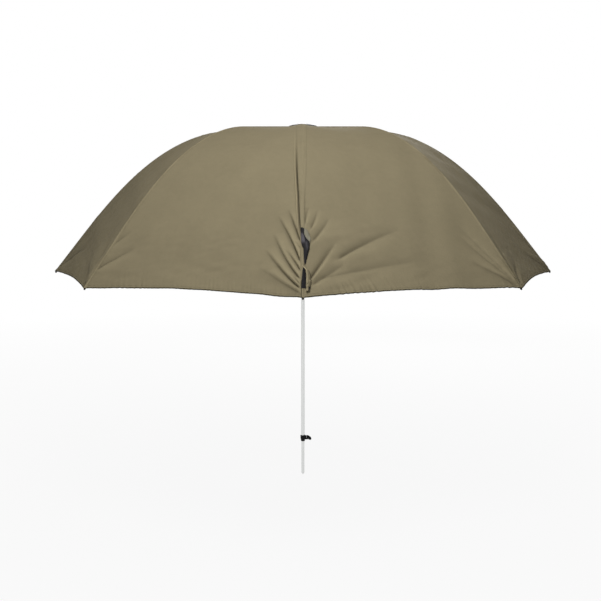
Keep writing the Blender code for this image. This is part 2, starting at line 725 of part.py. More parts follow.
def rib_tip_mesh():
    """Moulded cap with a blind bore for the rod's end, turned about the rod's line."""
    bore = ROD_RADIUS + GAP
    profile = [(0, TIP_BORE_DEPTH), (bore, TIP_BORE_DEPTH), (bore, 0), (TIP_RADIUS, 0)]
    round_start = TIP_LENGTH - TIP_RADIUS
    for index in range(TIP_ROUND_STEPS + 1):
        angle = math.radians(90) * index / TIP_ROUND_STEPS
        profile.append((TIP_RADIUS * math.cos(angle), round_start + TIP_RADIUS * math.sin(angle)))
    return mesh_of("rib_tip", turned(profile, TIP_SIDES))


def stretcher_mesh():
    """Stretcher: a rod with both ends flattened and pierced, from the clip's pin down to the runner."""
    reach = RUNNER_PIN - CLIP_PIN
    out = reach.normalized()
    length = reach.length
    rings = [tab_end(-out * TAB_HALF_HEIGHT, out)]
    rings += [tab_ring(out * place, out) for place in (-TAB_HALF_HEIGHT / 2, TAB_LENGTH)]
    start, end = TAB_LENGTH + TAB_TAPER, length - TAB_LENGTH - TAB_TAPER
    for index in range(STRETCHER_STATIONS):
        place = start + (end - start) * index / (STRETCHER_STATIONS - 1)
        rings.append(oval(out * place, out, STRETCHER_RADIUS, STRETCHER_RADIUS, ROD_SIDES))
    far_places = (length - TAB_LENGTH, length + TAB_HALF_HEIGHT / 2)
    rings += [tab_ring(out * place, out) for place in far_places]
    rings.append(tab_end(out * (length + TAB_HALF_HEIGHT), out))
    shape = eye(loft(rings), (0, 0, 0), CLIP_PIN_RADIUS + GAP)
    return mesh_of("stretcher", eye(shape, reach, WIRE_RADIUS + GAP))


def front_fold(lateral, arc):
    """Height of the folds that fan out from the lower front seam, a distance beyond their start."""
    seam_steepness = FOLD_TOP_STEEPNESS + FOLD_TOP_ARC / FOLD_FAN_LENGTH
    start = (arc + seam_steepness * lateral) / (1 + lateral / FOLD_FAN_LENGTH)
    below_top = eased(start, FOLD_TOP_ARC - FOLD_FADE, FOLD_TOP_ARC)
    along = below_top * (1 - eased(start, CANOPY_ARC - FOLD_HEM_FADE, CANOPY_ARC))
    away = eased(lateral, 0, FOLD_RISE) * (1 - eased(lateral, FOLD_RISE, FOLD_REACH))
    return FOLD_HEIGHT * along * away * math.cos(math.tau * (start - FOLD_TOP_ARC) / FOLD_PITCH)


def gore_point(share, arc, front=0):
    """A point of the cloth in the frame of its first rib: share runs from that rib to the next.

    front says on which side of the front rib the gore lies, or is 0 on the other gores.
    """
    hem_cut = HEM_SCALLOP * math.sin(math.pi * share) * eased(arc, BEND_ARC, CANOPY_ARC)
    arc -= hem_cut
    radius, height, slope = on_line(arc)
    first = Vector((radius, SEAM_HALF_GAP, height))
    second = Matrix.Rotation(GORE_ANGLE, 3, "Z") @ Vector((radius, -SEAM_HALF_GAP, height))
    middle = Matrix.Rotation(GORE_ANGLE / 2, 3, "Z")
    normal = middle @ Vector((math.sin(slope), 0, math.cos(slope)))
    levelled = eased(arc, VALLEY_FULL_ARC, VALLEY_LEVELS_ARC) / 2
    deep = eased(arc, PATCH_RADIUS, VALLEY_FULL_ARC) * (1 - levelled)
    lift = -VALLEY_SAG * deep * math.sin(math.pi * share)
    if front:
        chord = (second - first).length
        lateral = share * chord - STRAP_SIDE if front == RIGHT_OF_FRONT else (1 - share) * chord
        lift += front_fold(max(lateral, 0), arc)
    return first.lerp(second, share) + normal * lift


def gore_mesh(name, arcs, columns, origin, front=0):
    """One gore's cloth along a list of arcs, as a thin closed sheet."""
    shape = bmesh.new()
    grid = []
    for arc in arcs:
        shares = [column / columns for column in range(columns + 1)]
        if front:
            shares = [share**FRONT_CROWDING for share in shares]
        if front == LEFT_OF_FRONT:
            shares = [1 - share for share in reversed(shares)]
        grid.append([shape.verts.new(gore_point(share, arc, front) - origin) for share in shares])
    thicken(shape, grid, HALF_CLOTH)
    return mesh_of(name, shape)


def thicken(shape, grid, half):
    """Turns a grid of points into a closed sheet, half a thickness to either side.

    It is built of triangles, so that both sides of the sheet crease along the same diagonals.
    """
    for upper, lower in zip(grid, grid[1:]):
        for index in range(len(upper) - 1):
            shape.faces.new((upper[index], lower[index], lower[index + 1]))
            shape.faces.new((upper[index], lower[index + 1], upper[index + 1]))
    shape.normal_update()
    normals = {corner: corner.normal.copy() for corner in shape.verts}
    twins = {corner: shape.verts.new(corner.co - normal * half) for corner, normal in normals.items()}
    for corner, normal in normals.items():
        corner.co = corner.co + normal * half
    for face in list(shape.faces):
        shape.faces.new([twins[corner] for corner in reversed(face.verts)])
    rim = grid[0] + [row[-1] for row in grid[1:]] + grid[-1][-2::-1] + [row[0] for row in grid[-2:0:-1]]
    for index, corner in enumerate(rim):
        before = rim[index - 1]
        shape.faces.new((before, corner, twins[corner], twins[before]))
    bmesh.ops.recalc_face_normals(shape, faces=shape.faces)


def strap_mesh(name, width, above_hem, seam_gap, lift, sway):
    """A strap that stands off the cloth by a lift in its middle, sewn down at both ends."""
    shape = bmesh.new()
    grid = []
    for row in range(STRAP_ROWS + 1):
        along = row / STRAP_ROWS
        arc = CANOPY_ARC - above_hem[0] + (above_hem[0] - above_hem[1]) * along
        chord = 2 * on_line(arc)[0] * math.sin(GORE_ANGLE / 2)
        bow = math.sin(math.pi * along)
        line = []
        for column in range(STRAP_COLUMNS + 1):
            side = seam_gap + sway * bow + width * column / STRAP_COLUMNS
            place = gore_point(side / chord, arc, RIGHT_OF_FRONT)
            ahead = gore_point(side / chord, arc + TANGENT_STEP, RIGHT_OF_FRONT) - place
            beside = gore_point((side + width) / chord, arc, RIGHT_OF_FRONT) - place
            normal = ahead.cross(beside).normalized()
            clear = HALF_CLOTH + 2 * GAP + STRAP_THICKNESS / 2 + lift * bow
            line.append(shape.verts.new(place + normal * clear - BEND))
        grid.append(line)
    thicken(shape, grid, STRAP_THICKNESS / 2)
    return mesh_of(name, shape)


def make_frame(pole):
    """The eight ribs with their stretchers, tips and gores."""
    inner, outer, tip, stretcher = rib_inner_mesh(), rib_outer_mesh(), rib_tip_mesh(), stretcher_mesh()
    tip_base = rod_point(TIP_END_ARC - TIP_LENGTH) - BEND
    tip_line = rod_point(TIP_END_ARC) - rod_point(TIP_END_ARC - TIP_LENGTH)
    lean = math.atan2(tip_line.x, tip_line.z)
    top_arcs = inner_arcs(CLOTH_INNER_ARC, BEND_ARC - SEAM_HALF_GAP)
    side_arcs = outer_arcs(BEND_ARC + SEAM_HALF_GAP, CANOPY_ARC)
    front_arcs = outer_arcs(BEND_ARC + SEAM_HALF_GAP, CANOPY_ARC, FRONT_GORE_ROWS)
    inner_gore = gore_mesh("gore_inner", top_arcs, GORE_COLUMNS, PIVOT)
    outer_gore = gore_mesh("gore_outer", side_arcs, GORE_COLUMNS, BEND)
    front_gores = {
        index: gore_mesh("gore_outer", front_arcs, FRONT_GORE_COLUMNS, BEND, front)
        for index, front in ((0, RIGHT_OF_FRONT), (RIB_COUNT - 1, LEFT_OF_FRONT))
    }
    for index in range(RIB_COUNT):
        number = "_" + str(index + 1)
        angle = rib_angle(index)
        place = Matrix.Rotation(angle, 3, "Z") @ PIVOT
        rib = piece("rib_inner" + number, inner, "rod", pole, place, angle)
        bend = piece("rib_outer" + number, outer, "rod", rib, BEND - PIVOT)
        cap = piece("rib_tip" + number, tip, "black_plastic", bend, tip_base)
        cap.rotation_euler = (0, lean, 0)
        piece("stretcher" + number, stretcher, "steel", rib, CLIP_PIN - PIVOT)
        piece("gore_inner" + number, inner_gore, "cloth", rib)
        piece("gore_outer" + number, front_gores.get(index, outer_gore), "cloth", bend)
        if index == 0:
            make_straps(bend)


def make_straps(rib):
    upper = strap_mesh(
        "strap_upper",
        UPPER_STRAP_WIDTH,
        UPPER_STRAP_ABOVE_HEM,
        UPPER_STRAP_SEAM_GAP,
        UPPER_STRAP_LIFT,
        UPPER_STRAP_SWAY,
    )
    piece("strap_upper", upper, "webbing", rib)
    lower = strap_mesh(
        "strap_lower",
        LOWER_STRAP_WIDTH,
        LOWER_STRAP_ABOVE_HEM,
        LOWER_STRAP_SEAM_GAP,
        LOWER_STRAP_LIFT,
        LOWER_STRAP_SWAY,
    )
    piece("strap_lower", lower, "cloth", rib)


def main():
    clear_scene()
    make_lower_pole()
    make_pole_point()
    pole = make_upper_pole()
    make_clamp_collar(pole)
    make_clamp_screw(pole)
    make_crown(pole)
    make_crown_patch(pole)
    make_crown_cap(pole)
    make_runner(pole)
    make_open_catch(pole)
    make_frame(pole)


main()
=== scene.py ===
"""Looks of a fishing umbrella: its cloth, seams, straps and fittings, the finishes and the stage."""

import math

import bpy
import numpy as np
from bpy.props import FloatProperty, FloatVectorProperty, PointerProperty
from mathutils import Matrix, Vector


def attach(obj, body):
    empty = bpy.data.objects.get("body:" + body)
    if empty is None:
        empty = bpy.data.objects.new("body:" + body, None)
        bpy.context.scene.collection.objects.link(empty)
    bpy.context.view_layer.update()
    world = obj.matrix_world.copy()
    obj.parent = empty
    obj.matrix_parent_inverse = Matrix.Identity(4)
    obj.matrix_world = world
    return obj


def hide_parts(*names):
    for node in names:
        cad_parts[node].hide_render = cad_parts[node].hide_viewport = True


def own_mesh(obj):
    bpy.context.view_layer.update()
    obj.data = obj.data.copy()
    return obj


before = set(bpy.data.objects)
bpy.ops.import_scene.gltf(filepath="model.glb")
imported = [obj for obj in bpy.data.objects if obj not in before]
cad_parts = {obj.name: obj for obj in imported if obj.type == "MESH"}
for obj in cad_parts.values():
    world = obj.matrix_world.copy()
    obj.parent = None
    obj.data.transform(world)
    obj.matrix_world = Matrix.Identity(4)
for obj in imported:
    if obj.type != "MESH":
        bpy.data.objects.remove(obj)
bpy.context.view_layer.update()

bl_info = {
    "name": "Fishing umbrella",
    "version": (1, 0, 0),
    "blender": (4, 5, 0),
    "location": "3D View > Sidebar > Umbrella",
    "description": "Dresses the frame of a fishing umbrella with its cloth, fittings and finishes",
    "category": "Object",
}

# Line of the cloth over a rib, as in the frame: arcs run from the crown out to the hem, and a little past it
RIB_COUNT = 8
GORE_ANGLE = math.tau / RIB_COUNT
FRONT_ANGLE = math.radians(-90)
APEX_HEIGHT = 1.770
BEND_STARTS, BEND_ENDS, BEND_SKEW = 0.387, 1.374, 0.51
CROWN_SLOPE, HEM_SLOPE = math.radians(3.6), math.radians(51.4)
HUB_ARC, BEND_ARC, HEM_ARC = 0.012, 0.600, 1.527
LINE_STEPS = 400
LINE_STEP = (HEM_ARC + 0.034) / LINE_STEPS
# Cut of the hem between two ribs, and sag of the cloth there, which is full at one arc and half at another
HEM_SCALLOP = 0.018
VALLEY_SAG, VALLEY_FULL_ARC, VALLEY_HALF_ARC = 0.012, 0.350, 0.700
# Grid of a gore: its columns, and the rows of its two parts; the gores beside the front seam have more
PLAIN_GRID = {"across": 110, "inner": 60, "outer": 110}
FRONT_GRID = {"across": 230, "inner": 80, "outer": 190}
# Lap of an outer gore under the inner one: its length and drop, the share that it leaves free at each
# side, how far from the bend it stops, and its rows
LAP_LENGTH, LAP_DROP, LAP_INSET, LAP_GAP, LAP_ROWS = 0.045, 0.0014, 0.03, 0.003, 8

# Waves of the cloth: each kind's height, and its shortest and longest wave
BROAD_WAVES, CROSS_WAVES = (0.0016, 0.11, 0.31), (0.0016, 0.16, 0.40)
SEAM_PUCKERS, HEM_PUCKERS, BAND_PUCKERS = (0.0007, 0.018, 0.040), (0.0026, 0.012, 0.034), (0.0012, 0.010, 0.022)
SLACK_HEIGHT, SLACK_ALONG, SLACK_UP = 0.0011, (0.10, 0.34), (0.035, 0.080)
# How far the puckers reach from a seam and from the hem
SEAM_PUCKER_REACH, HEM_PUCKER_REACH = 0.022, 0.030

# Creases of the two front gores, pulled out from the front seam. Each starts at a distance from the
# seam and a height above the hem along the cloth, runs a way out and a way up with a bow to its line,
# and has a half width and a depth.
LEFT_CREASES = (
    (0.010, 0.020, 0.170, 0.100, 0.000, 0.0065, 0.0045),
    (0.010, 0.040, 0.145, 0.165, 0.015, 0.0042, 0.0095),
    (0.010, 0.055, 0.035, 0.045, 0.000, 0.0028, 0.0055),
    (0.010, 0.080, 0.110, 0.200, 0.020, 0.0040, 0.0080),
    (0.010, 0.120, 0.060, 0.090, -0.005, 0.0034, 0.0070),
    (0.010, 0.160, 0.095, 0.210, -0.010, 0.0040, 0.0085),
    (0.010, 0.220, 0.020, 0.030, 0.000, 0.0024, 0.0040),
    (0.010, 0.255, 0.050, 0.150, 0.000, 0.0040, 0.0070),
)
RIGHT_CREASES = (
    (0.030, 0.075, 0.110, 0.160, 0.000, 0.0050, 0.0100),
    (0.040, 0.050, 0.150, 0.095, 0.005, 0.0080, 0.0045),
    (0.150, 0.160, 0.275, 0.130, -0.010, 0.0090, 0.0050),
    (0.055, 0.070, 0.480, 0.060, -0.010, 0.0090, 0.0030),
    (0.035, 0.310, 0.030, 0.095, 0.008, 0.0050, 0.0040),
    (0.010, 0.335, 0.020, 0.085, -0.005, 0.0040, 0.0040),
    (0.045, 0.250, 0.075, 0.115, 0.008, 0.0070, 0.0045),
)
# Creases that the outer tips pull into the front gores, from the rib beside the front rib
LEFT_TIP_CREASES = (
    (0.004, 0.080, 0.120, 0.120, -0.005, 0.0060, 0.0045),
    (0.003, 0.205, 0.055, 0.080, -0.005, 0.0050, 0.0030),
)
RIGHT_TIP_CREASES = (
    (0.020, 0.010, 0.090, 0.310, -0.010, 0.0060, 0.0035),
    (0.020, 0.015, 0.115, 0.255, 0.000, 0.0060, 0.0035),
    (0.020, 0.015, 0.135, 0.120, -0.005, 0.0060, 0.0045),
)
# Creases that the tips pull into the other gores
SIDE_TIP_CREASES = (
    (0.020, 0.015, 0.280, 0.120, -0.010, 0.0090, 0.0060),
    (0.015, 0.035, 0.105, 0.250, -0.005, 0.0080, 0.0040),
    (0.012, 0.020, 0.120, 0.065, 0.000, 0.0060, 0.0035),
)
# How much a crease widens along its line, and the depth at which its painted shade and highlight are full
CREASE_WIDENS, CREASE_SHADED_DEPTH = 1.5, 0.007
# The groove beside the front seam, darkened with painted shade, with a raised welt on its outer side
# under a painted highlight: points of its line, as the distance from the seam and the height above the
# hem, and the depth and half width of both
GROOVE = ((0.033, 0.960), (0.030, 0.560), (0.006, 0.245))
GROOVE_DEPTH, GROOVE_WIDTH = 0.0055, 0.0040
WELT_OFFSET, WELT_HEIGHT, WELT_WIDTH = 0.0075, 0.0035, 0.0035
# Where the puckers lie beside the front band, and how wide they are
BAND_PUCKER_PLACE, BAND_PUCKER_WIDTH = 0.022, 0.005
# Painted shade on the cloth beside the seams of the other gores: how dark, and how far it reaches
SEAM_SHADE, SEAM_SHADE_REACH = 0.30, 0.015

# Seams: the arc where they start, how far they run past the hem, and the length of a row; the narrow side
# of their fold, how far they lie above the cloth in thicknesses of it, and how much a painted highlight lightens
# them
SEAM_STARTS, SEAM_OVERRUN, SEAM_ROW = 0.072, 0.002, 0.006
SEAM_FOLD, SEAM_LIFT, SEAM_HIGHLIGHT = 0.002, 1.05, 0.45
# The front seam is a wide band: its arcs, and how far it reaches to each side of the rib there
FRONT_BAND_LEFT = ((0.48, 0.88, 1.10, 1.30, 1.44), (0.032, 0.028, 0.024, 0.012, 0.008))
FRONT_BAND_RIGHT = ((0.48, 0.83, 1.10, 1.34), (0.018, 0.018, 0.009, 0.006))
# The pieces beside the front seam: the heights of their ends above the hem, and the distances of
# their left and right edges from the seam at even steps from the top down
BANDS = {
    "strap_tab": ((0.305, 0.235), (0.004, 0.004, 0.005, 0.006), (0.010, 0.022, 0.030, 0.026)),
    "strap_loop": (
        (0.315, 0.147),
        (-0.007, -0.009, -0.006, 0.001, 0.002, 0.004),
        (0.000, 0.018, 0.026, 0.026, 0.018, 0.009),
    ),
    "flap_lining": ((0.132, 0.040), (0.000, -0.002, -0.006, -0.007), (0.012, 0.020, 0.020, 0.018)),
    "bar_tack": ((0.040, 0.022), (0.018, 0.017), (0.025, 0.022)),
    "strap_flap": (
        (0.139, 0.022),
        (-0.002, 0.006, 0.009, 0.010, 0.010, 0.010),
        (0.004, 0.024, 0.030, 0.031, 0.030, 0.027),
    ),
}
WEBBING_THICKNESS, TACK_THICKNESS = 0.0014, 0.0012

# Crown patch, with its rings from the hole to where the seams start, and over their ends to its rim, and
# the gap under it
PATCH_RADIUS, PATCH_HOLE_RADIUS = 0.078, 0.0058
PATCH_RINGS = ((PATCH_HOLE_RADIUS, SEAM_STARTS, 14), (0.0735, PATCH_RADIUS, 6))
PATCH_SEAT = 0.0003
# Crown cap, as high as its solid but with a steeper rim. The rim stands a seat above the line of the
# cloth, and the dome is drawn in levels.
CAP_RADIUS, CAP_SEAT, CAP_RIM, CAP_RISE, CAP_LEVELS = 0.070, 0.0018, 0.0045, 0.0110, 12
CAP_STEM_RADIUS, CAP_STEM_LENGTH = 0.0055, 0.016
# Ring wire of the runner: height and radius of its circle, and how far round it goes
RING_HEIGHT, RING_RADIUS, RING_WIRE_RADIUS = 1.3080, 0.030, 0.0008
RING_TURN = math.radians(352)

# Stitches along the hem and the seams: their pitch, and how far from the edge they run
STITCH_PITCH, HEM_STITCHES, SEAM_STITCHES = 0.0036, 0.0105, 0.0022
# Roughness of the moulded plastic, from its smoothest to its roughest places
GRAIN_ROUGHNESS = (0.36, 0.56)
# Lamps: side of the square, place and target
LAMPS = {
    "key": (2.0, (-1.0, -4.5, 2.2), (0, 0, 1.3)),
    "top": (1.2, (0, -2.2, 3.5), (0, -0.5, 1.6)),
    "back": (2.4, (1.0, 4.4, 2.3), (0, 0.3, 1.4)),
}
WHITE = (1, 1, 1, 1)
FLOOR_SIZE, FLOOR_COLOUR = 60, (0.4, 0.4, 0.4, 1)
# The shown floor is a little grey at the foot and white from some way off
FLOOR_NEAR, FLOOR_FAR, FLOOR_NEAR_LEVEL = 0.5, 7, 0.92
SENSOR_WIDTH, CAMERA_SHIFT = 36, -0.004


def number(name, description, default, unit="LENGTH", **more):
    """A setting in a unit, a length in metres where none is named."""
    return FloatProperty(name=name, description=description, default=default, unit=unit, **more)


def colour(name, description, default):
    return FloatVectorProperty(
        name=name, description=description, default=default, size=4, min=0, max=1, subtype="COLOR"
    )


class CanopySettings(bpy.types.PropertyGroup):
    """Sizes and colours of the cloth."""

    cloth_colour: colour("Cloth colour", "Colour of the gores and seams", (0.262, 0.223, 0.138, 1))
    binding_colour: colour("Binding colour", "Colour of the tape that binds the hem", (0.060, 0.052, 0.030, 1))
    webbing_colour: colour("Webbing colour", "Colour of the strap at the front seam", (0.0085, 0.0080, 0.0090, 1))
    tab_colour: colour("Tab colour", "Colour of the worn tab over the strap", (0.30, 0.28, 0.21, 1))
    cloth_thickness: number("Cloth thickness", "Thickness of the coated cloth", 0.0008)
    thread_pitch: number("Thread pitch", "Distance between the threads of the weave", 0.0006)
    binding_width: number("Binding width", "Width of the tape that binds the hem", 0.0055)
    seam_width: number("Seam width", "Width of the sewn seam over a rib", 0.013)


class FittingSettings(bpy.types.PropertyGroup):
    """Colours of the pole and of the fittings."""

    metal_colour: colour("Pole colour", "Colour of the aluminium tubes", (0.72, 0.73, 0.72, 1))
    plastic_colour: colour("Plastic colour", "Colour of the moulded fittings", (0.009, 0.009, 0.010, 1))
    rod_colour: colour("Rod colour", "Colour of the glass fibre rods", (0.040, 0.040, 0.038, 1))
    steel_colour: colour("Steel colour", "Colour of the stretchers, catch and ring wire", (0.45, 0.45, 0.46, 1))


class StageSettings(bpy.types.PropertyGroup):
    """Camera, lamps and sky."""

    camera_distance: number("Camera distance", "Distance of the camera from the pole", 4.35)
    camera_height: number("Camera height", "Height of the camera above the ground", 1.386)
    camera_tilt: number(
        "Camera tilt", "How far the camera looks down", math.radians(6.33), "ROTATION", subtype="ANGLE"
    )
    camera_lens: number("Camera lens", "Focal length of the camera, in millimetres", 51.8, "CAMERA")
    key_power: number("Key light", "Power of the large soft lamp in front", 38, "POWER")
    top_power: number("Top light", "Power of the soft lamp above the front of the canopy", 54, "POWER")
    back_power: number("Back light", "Power of the soft lamp behind the canopy", 140, "POWER")
    sky_level: number(
        "Sky level", "Brightness of the plain light from all sides", 0.065, "NONE", min=0, max=1, subtype="FACTOR"
    )


def ease(values, start, end):
    """0 before start, 1 after end, and a smooth rise between them."""
    share = np.clip((values - start) / (end - start), 0, 1)
    return share * share * (3 - 2 * share)


def bell(values, width):
    """1 at 0, and a smooth fall to both sides over a width."""
    return np.exp(-((values / width) ** 2))


def unit(vectors):
    return vectors / np.maximum(np.linalg.norm(vectors, axis=-1, keepdims=True), 1e-9)


def cloth_line():
    """Arcs, radii, heights and slopes along the cloth over a rib."""
    arcs = LINE_STEP * np.arange(LINE_STEPS + 1)
    bent = np.clip((arcs - BEND_STARTS) / (BEND_ENDS - BEND_STARTS), 0, 1) ** BEND_SKEW
    slopes = CROWN_SLOPE + (HEM_SLOPE - CROWN_SLOPE) * ease(bent, 0, 1)
    radii = np.concatenate(([0], LINE_STEP * np.cumsum(np.cos(slopes[:-1]))))
    heights = APEX_HEIGHT - np.concatenate(([0], LINE_STEP * np.cumsum(np.sin(slopes[:-1]))))
    return arcs, radii, heights, slopes


LINE = cloth_line()


def on_line(arc):
    """Radius, height and slope of the cloth over a rib."""
    return [np.interp(arc, LINE[0], values) for values in LINE[1:]]


def chord_at(arc):
    """Distance from a rib to the next one at an arc."""
    return 2 * on_line(arc)[0] * math.sin(GORE_ANGLE / 2)


def rib_angle(number):
    return FRONT_ANGLE + GORE_ANGLE * (number - 1)


def curve_distance(places, above, curve):
    """Distance of each point from a curved line led by three points, more than 0 on its upper side, and
    how far along it lies."""
    start, middle, end = (np.array(point) for point in curve)
    steps = np.linspace(0, 1, 25)[:, None]
    line = start * (1 - steps) ** 2 + 2 * middle * steps * (1 - steps) + end * steps**2
    best = np.full(places.shape, 1e9)
    along = np.zeros(places.shape)
    for index, (low, high) in enumerate(zip(line, line[1:])):
        reach = high - low
        share = ((places - low[0]) * reach[0] + (above - low[1]) * reach[1]) / (reach @ reach)
        share = np.clip(share, 0, 1)
        distance = np.hypot(places - low[0] - share * reach[0], above - low[1] - share * reach[1])
        side = np.sign(reach[0] * (above - low[1]) - reach[1] * (places - low[0]))
        closer = distance < np.abs(best)
        best = np.where(closer, distance * side, best)
        along = np.where(closer, (index + share) / (len(line) - 1), along)
    return best, along


def crease(places, above, line, ridge_side):
    """A pulled fold: a narrow valley, a ridge that rises steeply on one side of it, and its soft back. It
    fades along its line. Gives its height, the painted shade of its valley and the painted highlight of its ridge."""
    start, foot, out, up, bow, width, depth = line
    reach = math.hypot(out, up)
    middle = (start + out / 2 + bow * up / reach, foot + up / 2 - bow * out / reach)
    distance, along = curve_distance(places, above, ((start, foot), middle, (start + out, foot + up)))
    beside = ridge_side * distance / (width * (1.0 + CREASE_WIDENS * along))
    valley = np.exp(-np.abs(beside + 0.3) * np.where(beside < -0.3, 0.75, 1.5))
    rise = np.clip(beside + 0.2, 0, None)
    ridge = rise / 1.3 * np.exp(1 - rise / 1.3)
    strength = ease(along, -0.05, 0.08) * (1 - along) ** 0.7
    # Weights of the painted shade in the valley and the painted highlight on the ridge
    weight = strength * min(1, depth / CREASE_SHADED_DEPTH)
    return depth * strength * (0.9 * ridge - valley), weight * valley, weight * ridge


def ripples(places, seed, shortest, longest):
    """Uneven waves along a line, about one unit high."""
    choice = np.random.default_rng(seed)
    total = np.zeros(np.shape(places))
    for _ in range(6):
        pitch = choice.uniform(shortest, longest)
        total = total + np.sin(math.tau * (places / pitch + choice.uniform()))
    return total / 2.4


def waves(places, seed, kind):
    """Uneven waves of a kind, in metres."""
    height, shortest, longest = kind
    return height * ripples(places, seed, shortest, longest)


def creases_of(gore):
    """The creases of a gore, each with the rib that it is measured from, 0 for its first and 1 for its
    last, and the side of its ridge, 1 for the upper and -1 for the lower."""
    if gore == 1:
        return [(0, line, -1) for line in RIGHT_CREASES] + [(1, line, 1) for line in RIGHT_TIP_CREASES]
    if gore == RIB_COUNT:
        return [(1, line, 1) for line in LEFT_CREASES] + [(0, line, -1) for line in LEFT_TIP_CREASES]
    choice = np.random.default_rng(gore)
    found = []
    for rib in (0, 1):
        for start, foot, out, up, bow, width, depth in SIDE_TIP_CREASES:
            out, up = out * choice.uniform(0.75, 1.25), up * choice.uniform(0.75, 1.25)
            line = (start, foot, out, up, bow, width, depth * choice.uniform(0.6, 1.1))
            found.append((rib, line, 1 if rib else -1))
    return found


def wave_height(gore, share, arc, across, edge):
    """Height of a gore's broad waves, its slack near the hem, and the puckers at its seams and hem."""
    hem = HEM_ARC - arc
    broad = waves(across + 0.2 * arc, gore, BROAD_WAVES) + waves(arc - 0.3 * across, gore + 20, CROSS_WAVES)
    slack = ripples(across + 0.3 * arc, gore + 100, *SLACK_ALONG)
    slack = SLACK_HEIGHT * slack * ripples(hem - 0.1 * across, gore + 120, *SLACK_UP)
    seam = np.exp(-edge / SEAM_PUCKER_REACH) * waves(arc, gore + 40, SEAM_PUCKERS)
    window = 0.35 + 0.65 * ease(ripples(share, gore + 60, 0.25, 0.8), -0.2, 0.6)
    pucker = window * np.exp(-hem / HEM_PUCKER_REACH) * waves(across + 0.25 * hem, gore + 80, HEM_PUCKERS)
    height = broad * ease(arc, 0.15, 0.7) + slack * ease(arc, 1.1, 1.35) * ease(hem, 0, 0.03)
    return height + seam * ease(arc, 0.2, 0.5) + pucker * (0.55 + 0.45 * ease(hem, 0, 0.015))


def cloth_detail(gore, share, arc):
    """Height of the folds and puckers above the plain surface, and the painted light and shade of the folds:
    less than 0 where shade is painted in the valleys, and more where highlights are painted on the ridges."""
    chord = chord_at(arc)
    ribs = (share * chord, (1 - share) * chord)
    edge = np.minimum(*ribs)
    hem = HEM_ARC - arc
    height = wave_height(gore, share, arc, ribs[0] - chord / 2, edge)
    dark, light = np.zeros(np.shape(height)), np.zeros(np.shape(height))
    for rib, line, ridge_side in creases_of(gore):
        fold, valley, ridge = crease(ribs[rib], hem, line, ridge_side)
        height = height + fold
        dark, light = np.maximum(dark, valley), np.maximum(light, ridge)
    if gore == RIB_COUNT:
        distance, along = curve_distance(ribs[1], hem, GROOVE)
        strength = ease(along, 0.1, 0.5) * (1 - ease(along, 0.85, 1))
        valley = strength * bell(distance, GROOVE_WIDTH)
        outer = curve_distance(ribs[1] - WELT_OFFSET, hem, GROOVE)[0]
        welt = (0.3 + 0.7 * strength) * bell(outer, WELT_WIDTH)
        height = height - GROOVE_DEPTH * valley + WELT_HEIGHT * welt
        # Painted shade in the groove and a painted highlight on the welt
        dark, light = np.maximum(dark, valley), np.maximum(light, 0.7 * welt)
    if gore == 1:
        pucker = bell(ribs[0] - BAND_PUCKER_PLACE, BAND_PUCKER_WIDTH) * waves(arc, 7, BAND_PUCKERS)
        height = height + pucker * ease(arc, 0.48, 0.54) * (1 - ease(arc, 0.78, 0.88))
    # Painted light and shade: highlights on the ridges and the welt, shade in the valleys and the groove
    shade = light * (1 - np.clip(1.5 * dark, 0, 1)) - dark
    shade = shade * ease(edge, 0.002, 0.008)
    # Painted shade on the cloth beside the seams of the gores away from the front
    if front_side(gore) is None:
        shade = shade - SEAM_SHADE * np.exp(-edge / SEAM_SHADE_REACH)
    return height * ease(edge, 0.003, 0.013), shade


def cloth_points(gore, share, arc, lift=0):
    """Points of a gore's cloth, a lift above its middle surface, and their shade."""
    cut = HEM_SCALLOP * np.sin(math.pi * share) * ease(arc, BEND_ARC, HEM_ARC)
    detail, shade = cloth_detail(gore, share, arc)
    radius, height, slope = on_line(arc - cut)
    levelled = ease(arc - cut, VALLEY_FULL_ARC, VALLEY_HALF_ARC) / 2
    deep = ease(arc - cut, PATCH_RADIUS, VALLEY_FULL_ARC) * (1 - levelled)
    rise = detail + lift - VALLEY_SAG * deep * np.sin(math.pi * share)
    outward = rise * np.sin(slope)
    ahead = radius * ((1 - share) + share * math.cos(GORE_ANGLE)) + outward * math.cos(GORE_ANGLE / 2)
    aside = radius * share * math.sin(GORE_ANGLE) + outward * math.sin(GORE_ANGLE / 2)
    points = np.stack([ahead, aside, height + rise * np.cos(slope)], -1)
    return points @ np.array(Matrix.Rotation(rib_angle(gore), 3, "Z")).T, shade


def seam_points(rib, across, arc):
    """Points of the cloth near a rib and their shade, by their distance from it: into its own gore, or
    less than 0 into the gore before."""
    chord = chord_at(arc)
    ahead, shade_ahead = cloth_points(rib, np.clip(across / chord, 0, 1), arc)
    before = (rib - 2) % RIB_COUNT + 1
    behind, shade_behind = cloth_points(before, np.clip(1 + across / chord, 0, 1), arc)
    return np.where((across >= 0)[..., None], ahead, behind), np.where(across >= 0, shade_ahead, shade_behind)


def grid_normals(points):
    """Outward directions at the points of a grid whose rows run from the hub to the hem."""
    return unit(np.cross(np.gradient(points, axis=0), np.gradient(points, axis=1)))


def add_object(name, data, place=(0, 0, 0), turn=(0, 0, 0)):
    """A new object in the scene, at a place and with a turn."""
    made = bpy.data.objects.new(name, data)
    made.location = place
    made.rotation_euler = turn
    bpy.context.scene.collection.objects.link(made)
    return made


